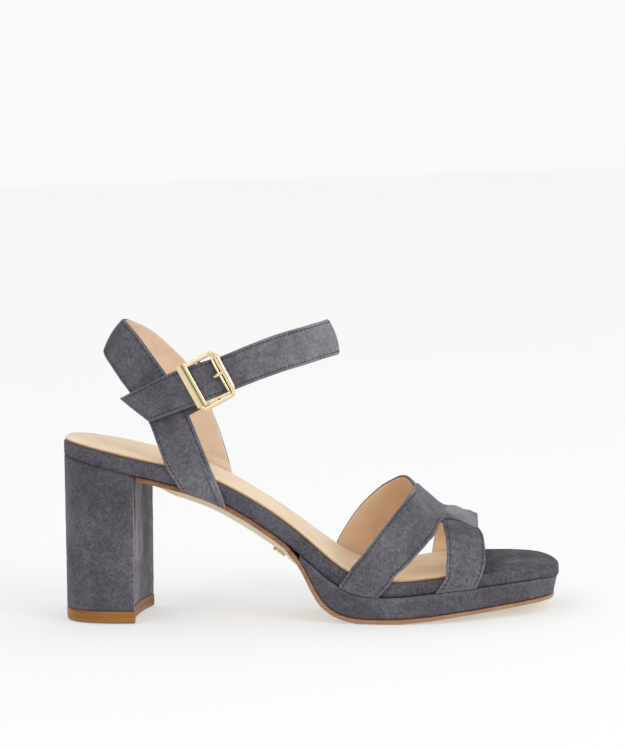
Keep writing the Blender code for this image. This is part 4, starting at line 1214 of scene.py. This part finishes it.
def build_band():
    def relief(s, e, w, p):
        soft = 0.12 * wobble(p, 9.0, 6.5) * np.clip(e / 2.0, 0, 1)
        bend = -0.25 * bump_at(s, 9.0, 0.35) - 0.25 * bump_at(s, 11.0, 0.35)
        fold = -0.30 * bump_at(s - 0.03 * e, 1.7, 0.20) * np.clip(e / 2, 0, 1)
        full = 0.9 * bump_at(s, 10.0, 1.2) * (1 - (1 - 2 * e / w) ** 2)
        strip = full + 0.55 * strip_at(s, e, p) * (1 - step01(e, 2.8, 3.3))
        return soft + (bend + fold) * np.clip(e / 1.5, 0.2, 1) + strip

    def strip_at(s, e, p):
        """The turned strip along the front edge at the outer foot, widest at the foot."""
        front = np.arange(len(e)) < len(e) // 2
        return front * (1 - float(step01(s, 1.2, 2.6))) * (p[:, 1] < 0)

    def tone(s, t, e, w, p):
        strip = strip_at(s, e, p) if len(e) > 4 else 0.0
        # the turned strip is paler, with painted shade in the step along its inner edge
        suede_tone = strip * (0.30 * (1 - step01(e, 2.4, 2.9)) - 0.85 * bump_at(e, 3.3, 0.4))
        suede_tone = suede_tone + 0.26 * wobble(p, 14.0, 7.5) + 0.12 * wobble(p, 5.0, 7.0)
        suede_tone = suede_tone + 0.50 * bump_at(p[:, 2], 66, 13) * bump_at(p[:, 0], 66, 12) * (p[:, 1] < 0)
        # painted shade along the ankle strap's lower edge, where it lies over the band
        suede_tone = suede_tone - 0.30 * bump_at(p[:, 2], 96, 7) * (p[:, 1] < -5)
        suede_tone = suede_tone + 0.20 * bump_at(s, 8.3, 0.8)
        return suede_tone

    # painted light: the lining is paler towards the inner foot, lifting the shade there
    band, seam, _ = strap_piece("heel_band_lined", table_surface(BAND, 0.35, 1.2, clear_of_board), (0, len(BAND) - 1), 300, [SUEDE, BAND_LINING], relief, tone, inside=lambda s: 0.45 * float(step01(s, 14.0, 16.5)))
    finish_piece(band, "suede", "heel_band")
    rows = [seam(1.5, 1.0, -1.0, 0), seam(1.5, 1.0, -1.0, 1)]
    finish_piece(stitches("stitches_heel_band", rows, [THREAD]), "suede")


def build_ankle_strap():
    def relief(s, e, w, p):
        soft = 0.12 * wobble(p, 9.0, 8.5) * np.clip(e / 2.0, 0, 1)
        full = 0.9 * bump_at(s, 13.2, 1.1) * (1 - (1 - 2 * e / w) ** 2)
        bend = -0.20 * bump_at(s, 11.6, 0.22) + 0.22 * bump_at(s, 12.15, 0.25) - 0.24 * bump_at(s, 12.75, 0.22)
        hole = -0.25 * np.exp(-(np.linalg.norm(p - np.array(HOLE_AT), axis=1) / 1.5) ** 2) - 0.25 * np.exp(-(np.linalg.norm(p - np.array(TAIL_HOLE_AT), axis=1) / 1.5) ** 2)
        return soft + full + bend * np.clip(e / 1.5, 0.2, 1) + hole

    def tone(s, t, e, w, p):
        suede_tone = 0.24 * wobble(p, 15.0, 9.5) + 0.10 * wobble(p, 5.0, 9.0)
        # painted highlight: the strap grows paler towards its turn at the front
        suede_tone = suede_tone + 0.85 * step01(p[:, 0], 100, 126) * (1 - step01(p[:, 1], -3, 9)) + 0.12 + 0.22 * bump_at(p[:, 0], 96, 8) * (p[:, 1] < 0)
        # painted shade where the strap runs under the buckle's front bar, and darker towards the tail
        suede_tone = suede_tone - 0.20 * bump_at(p[:, 0], 80, 7) * (p[:, 1] < 0) - 0.10 * bump_at(p[:, 0], 50, 12)
        return suede_tone

    strap, seam, _ = strap_piece("ankle_strap_lined", table_surface(ANKLE, 0.3), (0, len(ANKLE) - 1), 330, [SUEDE, BAND_LINING], relief, tone)
    finish_piece(strap, "suede", "ankle_strap")
    rows = [seam(1.5, 1.6, -1.0, 0), seam(1.5, 1.6, -1.0, 1)]
    finish_piece(stitches("stitches_ankle_strap", rows, [THREAD]), "suede")


def local(u, v, w):
    """A point from the buckle's own frame: u along the strap, v across it, w outwards."""
    a = math.radians(BUCKLE_TURN)
    return (
        BUCKLE_AT[0] + u * math.cos(a) - v * math.sin(a),
        BUCKLE_AT[1] - w,
        BUCKLE_AT[2] + u * math.sin(a) + v * math.cos(a),
    )


HOLE_AT = (88.0, -28.9, 118.5)
TAIL_HOLE_AT = (59.9, -27.4, 110.6)


def build_holes():
    """The free punched holes: a dark pit of painted shade with a thin pale rim of cut lining, painted paler as a glint,
    flush with the suede.
    """
    # painted shade: the pit's near-black stands for the shade inside the hole
    hole = Shade("Punched_hole_painted_shade", Specular_IOR_Level=0.1)
    hole.colour(hole.ramp(hole.noise(1800, 3.0), (0.2, (0.008, 0.008, 0.01)), (0.8, (0.03, 0.026, 0.03))))
    hole.roughness(0.95)
    # the rim on the cut edge is painted pale as a glint
    rim = Shade("Cut_rim_painted_glint", Specular_IOR_Level=0.3)
    rim.colour(rim.ramp(rim.noise(1500, 3.0), (0.25, (0.20, 0.18, 0.18)), (0.7, (0.64, 0.59, 0.56))))
    rim.roughness(0.8)
    surface = table_surface(ANKLE, 0.3)
    best = []
    grid = [(s, t) for s in np.linspace(0.5, 9.5, 361) for t in np.linspace(0.35, 0.65, 13)]
    where = np.array([surface(s, t) for s, t in grid])
    for name, at in (("punched_hole_front", HOLE_AT), ("punched_hole_tail", TAIL_HOLE_AT)):
        k = int(np.argmin(np.linalg.norm((where - np.array(at))[:, [0, 2]], axis=1)))
        s, t = grid[k]
        c = surface(s, t)
        along = surface(s + 0.05, t) - surface(s - 0.05, t)
        across = surface(s, t + 0.02) - surface(s, t - 0.02)
        n = np.cross(along, across)
        n /= np.linalg.norm(n)
        if n[1] > 0:
            n = -n
        along /= np.linalg.norm(along)
        across = np.cross(n, along)
        points, faces, kinds = [], [], []
        rings = [(1.20, -0.30), (1.12, 0.06), (1.04, 0.16), (0.94, 0.12), (0.84, -0.15), (0.76, -0.7)]
        for r, h in rings:
            for j in range(28):
                a = 2 * math.pi * j / 28
                points.append(c + (along * math.cos(a) + across * math.sin(a)) * r * 0.84 + n * (h + 0.1))
        for i in range(len(rings) - 1):
            for j in range(28):
                m = (j + 1) % 28
                faces.append((i * 28 + j, i * 28 + m, (i + 1) * 28 + m, (i + 1) * 28 + j))
                kinds.append(0 if i < 3 else 1)
        faces.append(tuple((len(rings) - 1) * 28 + j for j in range(28)))
        kinds.append(1)
        best.append((name, points, faces, kinds))
    for name, points, faces, kinds in best:
        obj = mesh_piece(name, points, faces, [rim.made, hole.made], kinds, None)
        finish_piece(obj, "suede")


# ---- buckle -------------------------------------------------------------------------------------------


def build_buckle():
    hu, hv = BUCKLE_HALF
    corner = 2.6
    path = []
    for cu, cv, start, r, n in ((hu - corner, hv - corner, 0, corner, 12), (-hu - 0.6, hv - 0.8, 90, 0.8, 5), (-hu - 0.6, -hv + 0.8, 180, 0.8, 5), (hu - corner, -hv + corner, 270, corner, 12)):
        for a in np.linspace(0, 90, n):
            angle = math.radians(start + a)
            path.append(local(cu + r * math.cos(angle), cv + r * math.sin(angle), 0))
    path.append(path[0])
    even = resample(path, 121)[:-1]
    # the front bar is wider than the others: a broad rounded bar with a thin one beside it
    ring = tube(even, WIRE + 0.14, 20, cyclic=True)
    share = np.linspace(-1, 1, 27)
    broad = tube([local(hu + 0.45 + 0.15 * a, (hv - 1.7) * a + 0.3, 0.15) for a in share], np.array([0.5, 1.1, 1.38] + [1.42] * 21 + [1.38, 1.1, 0.5]), 20)
    slim = tube([local(hu - 2.1 + 0.15 * a * a, (hv - 1.5) * a, 0.1) for a in share], np.array([0.1, 0.45] + [0.62] * 23 + [0.45, 0.1]), 14)
    lower = tube([local(-hu + 2.2 + (2 * hu - 4.6) * k, -hv + 1.75 + 0.2 * math.sin(math.pi * k), 0.05) for k in np.linspace(0, 1, 21)], np.array([0.1, 0.4] + [0.55] * 17 + [0.4, 0.1]), 14)
    post = [local(-0.6, -hv, 0), local(-0.6, -hv + 0.1, -1.2), local(-0.6, -hv + 2.6, -4.2), local(-0.6, hv - 2.6, -4.2), local(-0.6, hv - 0.1, -1.2), local(-0.6, hv, 0)]
    soft = resample(post, 61)
    for _ in range(4):
        soft[1:-1] = soft[1:-1] * 0.5 + (soft[:-2] + soft[2:]) * 0.25
    centre = tube(soft, 0.66, 14)
    points, faces = merged(ring, broad, slim, lower, centre)
    obj = mesh_piece("buckle_wire_frame", points, faces, [GOLD], sharp=60)
    finish_piece(obj, "buckle", "buckle_frame")

    # flat keeper bar: a rounded bar of 4.8 by 1.5 mm, crowned a little, its ends turned back
    section = []
    half_w, thick = 2.4, 1.5
    for a in np.linspace(0, math.pi, 9):
        section.append((half_w - 0.32 + 0.32 * math.sin(a), -thick / 2 + 0.32 - 0.32 * math.cos(a) if a < math.pi / 2 else thick / 2 - 0.32 - 0.32 * math.cos(a)))
    outline = [(x, y) for x, y in section]
    outline += [(1.5, thick / 2 + 0.34), (0.0, thick / 2 + 0.40), (-1.3, thick / 2 + 0.34)]
    outline += [(-x, y) for x, y in section[::-1]]
    outline = np.array(outline)
    points, faces = [], []
    levels = [-(hv + 0.95), -(hv + 0.88), -(hv + 0.6), -(hv - 0.4)] + list(np.linspace(-(hv - 1.4), hv - 1.4, 12)) + [hv - 0.4, hv + 0.6, hv + 0.88, hv + 0.95]
    for i, v in enumerate(levels):
        near = abs(v) - (hv + 0.6)
        shrink = 1 - 0.35 * max(near, 0) / 0.35
        back = -0.35 * max(near, 0) / 0.35
        for x, y in outline:
            points.append(local(-hu - 0.85 + x * shrink, v * 0.92 + 1.7, 0.25 + y * shrink + back * 0.2))
    n = len(outline)
    for i in range(len(levels) - 1):
        for k in range(n):
            m = (k + 1) % n
            faces.append((i * n + k, i * n + m, (i + 1) * n + m, (i + 1) * n + k))
    faces.append(tuple(range(n))[::-1])
    faces.append(tuple((len(levels) - 1) * n + k for k in range(n)))
    obj = mesh_piece("buckle_keeper_bar", points, faces, [GOLD_FLAT], sharp=35)
    finish_piece(obj, "buckle")
    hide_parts("buckle_frame")

    path = [local(0.95, 0.4, -4.3), local(1.5, 0.4, -3.0), local(2.0, 0.4, -0.9), local(3.2, 0.4, 1.2), local(5.2, 0.4, 2.1), local(hu + 0.6, 0.4, 2.0), local(hu + 1.5, 0.4, 1.5)]
    smooth = resample(path, 41)
    for _ in range(8):
        smooth[1:-1] = smooth[1:-1] * 0.5 + (smooth[:-2] + smooth[2:]) * 0.25
    radius = np.full(41, 0.82)
    radius[-4:] = (0.78, 0.68, 0.48, 0.14)
    radius[:2] = (0.4, 0.6)
    points, faces = tube(smooth, radius, 14)
    obj = mesh_piece("buckle_prong_pin", points, faces, [GOLD], sharp=60)
    finish_piece(obj, "buckle", "buckle_prong")


def build_tab():
    rings = []
    for u, w_in, w_out in ((-18.2, -6.35, -5.35), (-17.6, -6.38, -5.2), (-12.0, -6.3, -5.2), (-9.6, -6.3, -5.2), (-8.6, -6.28, -5.18), (-7.6, -6.25, -5.15), (-4.0, -6.2, -5.1), (-2.6, -6.1, -5.1), (-2.2, -5.95, -5.25)):
        lower, upper = -9.9 + 2.9 * float(step01(u, -9.8, -7.4)), 7.4
        ring = []
        for v in np.linspace(lower, upper, 15):
            edge = min(v - lower, upper - v)
            ring.append(local(u, v, w_out - 0.35 * max(0, 1 - edge / 0.8) ** 2 - 0.1 * float(bump_at(edge, 1.7, 0.35))))
        ring += [local(u, v, w_in) for v in np.linspace(upper, lower, 15)]
        rings.append(ring)
    points = np.array([p for ring in rings for p in ring])
    n = len(rings[0])
    faces = []
    for i in range(len(rings) - 1):
        for k in range(n):
            m = (k + 1) % n
            faces.append((i * n + k, i * n + m, (i + 1) * n + m, (i + 1) * n + k))
    faces.append(tuple(range(n))[::-1])
    faces.append(tuple((len(rings) - 1) * n + k for k in range(n)))
    # painted shade: the tab is darker, lying under the strap
    obj = mesh_piece("buckle_tab_suede", points, faces, [SUEDE], None, np.full(len(points), -0.25))
    finish_piece(obj, "suede", "buckle_tab")


def build_stud():
    x, y = 101.5, -13.0
    side = float(stand_out(x))
    left, right = float(outer(x)) - side, float(inner(x)) + side
    share = 2 * (y - left) / (right - left) - 1
    z = float(sole_under(x)) - BELLY * (1 - share**2)
    rise = float(sole_under(x + 1) - sole_under(x - 1)) / 2
    away = Vector((rise, -BELLY * 4 * share / (left - right), -1)).normalized()
    low = Vector((x, y, z)) + away * GAP
    turn = away.to_track_quat("Z", "Y").to_matrix()
    profile = [(3.05, -0.25), (3.25, 0.0), (3.4, 0.18), (3.4, 0.55), (3.32, 0.78), (3.1, 0.92), (2.75, 0.95), (2.6, 0.82), (2.4, 0.80), (2.1, 0.9), (1.5, 1.02), (0.8, 1.08), (0.0, 1.10)]
    points, faces = [], []
    for r, h in profile[:-1]:
        for k in range(40):
            a = 2 * math.pi * k / 40
            points.append(low + turn @ Vector((r * math.cos(a), r * math.sin(a), h)))
    points.append(low + turn @ Vector((0, 0, 1.10)))
    for i in range(len(profile) - 2):
        for k in range(40):
            m = (k + 1) % 40
            faces.append((i * 40 + k, i * 40 + m, (i + 1) * 40 + m, (i + 1) * 40 + k))
    last = (len(profile) - 2) * 40
    for k in range(40):
        faces.append((last + k, last + (k + 1) % 40, len(points) - 1))
    faces.append(tuple(range(40))[::-1])
    obj = mesh_piece("plain_stud", [tuple(p) for p in points], faces, [GOLD], sharp=50)
    finish_piece(obj, "buckle", "waist_stud")


# ---- camera and light ---------------------------------------------------------------------------------


def build_camera():
    a, e, roll = math.radians(4.5), math.radians(5.2), math.radians(-1.9)
    back = np.array([math.sin(a) * math.cos(e), -math.cos(a) * math.cos(e), math.sin(e)])
    right = np.array([math.cos(a), math.sin(a), 0.0])
    up = np.cross(back, right)
    right_r = right * math.cos(roll) + up * math.sin(roll)
    up_r = -right * math.sin(roll) + up * math.cos(roll)
    at = to_world(np.array([118.4, 0.0, 111.6]) + back * 1350.0)[0]
    camera = bpy.data.objects.new("camera", bpy.data.cameras.new("camera"))
    camera.data.sensor_fit = "AUTO"
    camera.data.sensor_width = 36.0
    camera.data.lens = 36.0 * 2.14 * 1350.0 / 750.0
    camera.data.clip_start, camera.data.clip_end = 0.05, 20.0
    rows = Matrix(((right_r[0], up_r[0], back[0]), (right_r[1], up_r[1], back[1]), (right_r[2], up_r[2], back[2]))).to_4x4()
    camera.matrix_world = Matrix.Translation(Vector(at)) @ rows
    bpy.context.scene.collection.objects.link(camera)
    bpy.context.scene.camera = camera


def build_studio():
    def card(name, corners, colour, glow=0.0, rough=0.9):
        mesh = bpy.data.meshes.new(name)
        mesh.from_pydata(corners, [], [tuple(range(len(corners)))])
        obj = bpy.data.objects.new(name, mesh)
        bpy.context.scene.collection.objects.link(obj)
        made = Shade(name, Specular_IOR_Level=0.05)
        made.colour(made.ramp(made.noise(3.0, 2.0), (0.0, tuple(c * 0.99 for c in colour)), (1.0, colour)))
        made.roughness(rough)
        if glow:
            made.shader.inputs["Emission Color"].default_value = (1, 1, 1, 1)
            made.shader.inputs["Emission Strength"].default_value = glow
        mesh.materials.append(made.made)

    s = 9.0
    card("floor", [(-s, -s, -0.0003), (s, -s, -0.0003), (s, s, -0.0003), (-s, s, -0.0003)], (0.60, 0.60, 0.60), 0.345)
    # dark cards behind the camera, for the metal to reflect
    card("dark_card_rear", [(-0.75, -2.4, -0.05), (0.55, -2.4, -0.05), (0.55, -2.4, 0.75), (-0.75, -2.4, 0.75)], (0.03, 0.03, 0.03))
    card("dark_card_left", [(-1.9, -1.2, 0.0), (-1.9, 0.2, 0.0), (-1.9, 0.2, 0.9), (-1.9, -1.2, 0.9)], (0.04, 0.04, 0.04))

    world = bpy.data.worlds.new("studio")
    bpy.context.scene.world = world
    world.use_nodes = True
    back = world.node_tree.nodes["Background"]
    back.inputs["Color"].default_value = (1, 1, 1, 1)
    back.inputs["Strength"].default_value = 0.947

    def area(name, at, target, size, power, colour=(1, 1, 1)):
        light = bpy.data.lights.new(name, "AREA")
        light.shape = "RECTANGLE"
        light.size, light.size_y = size
        light.energy = power
        light.color = colour
        obj = bpy.data.objects.new(name, light)
        bpy.context.scene.collection.objects.link(obj)
        obj.location = at
        obj.rotation_euler = (Vector(target) - Vector(at)).to_track_quat("-Z", "Y").to_euler()

    area("key_right", (1.7, -1.5, 1.0), (0, 0, 0.06), (0.9, 0.9), 16.0)
    area("soft_left", (-1.2, -1.8, 1.3), (0, 0, 0.06), (0.8, 0.8), 4.0)
    bpy.context.scene.view_settings.view_transform = "Standard"
    bpy.context.scene.view_settings.look = "None"


build_camera()
build_footbed()
build_sock()
build_platform()
build_outsole()
build_heel()
build_vamp()
build_band()
build_ankle_strap()
build_holes()
build_buckle()
build_tab()
build_stud()
build_studio()
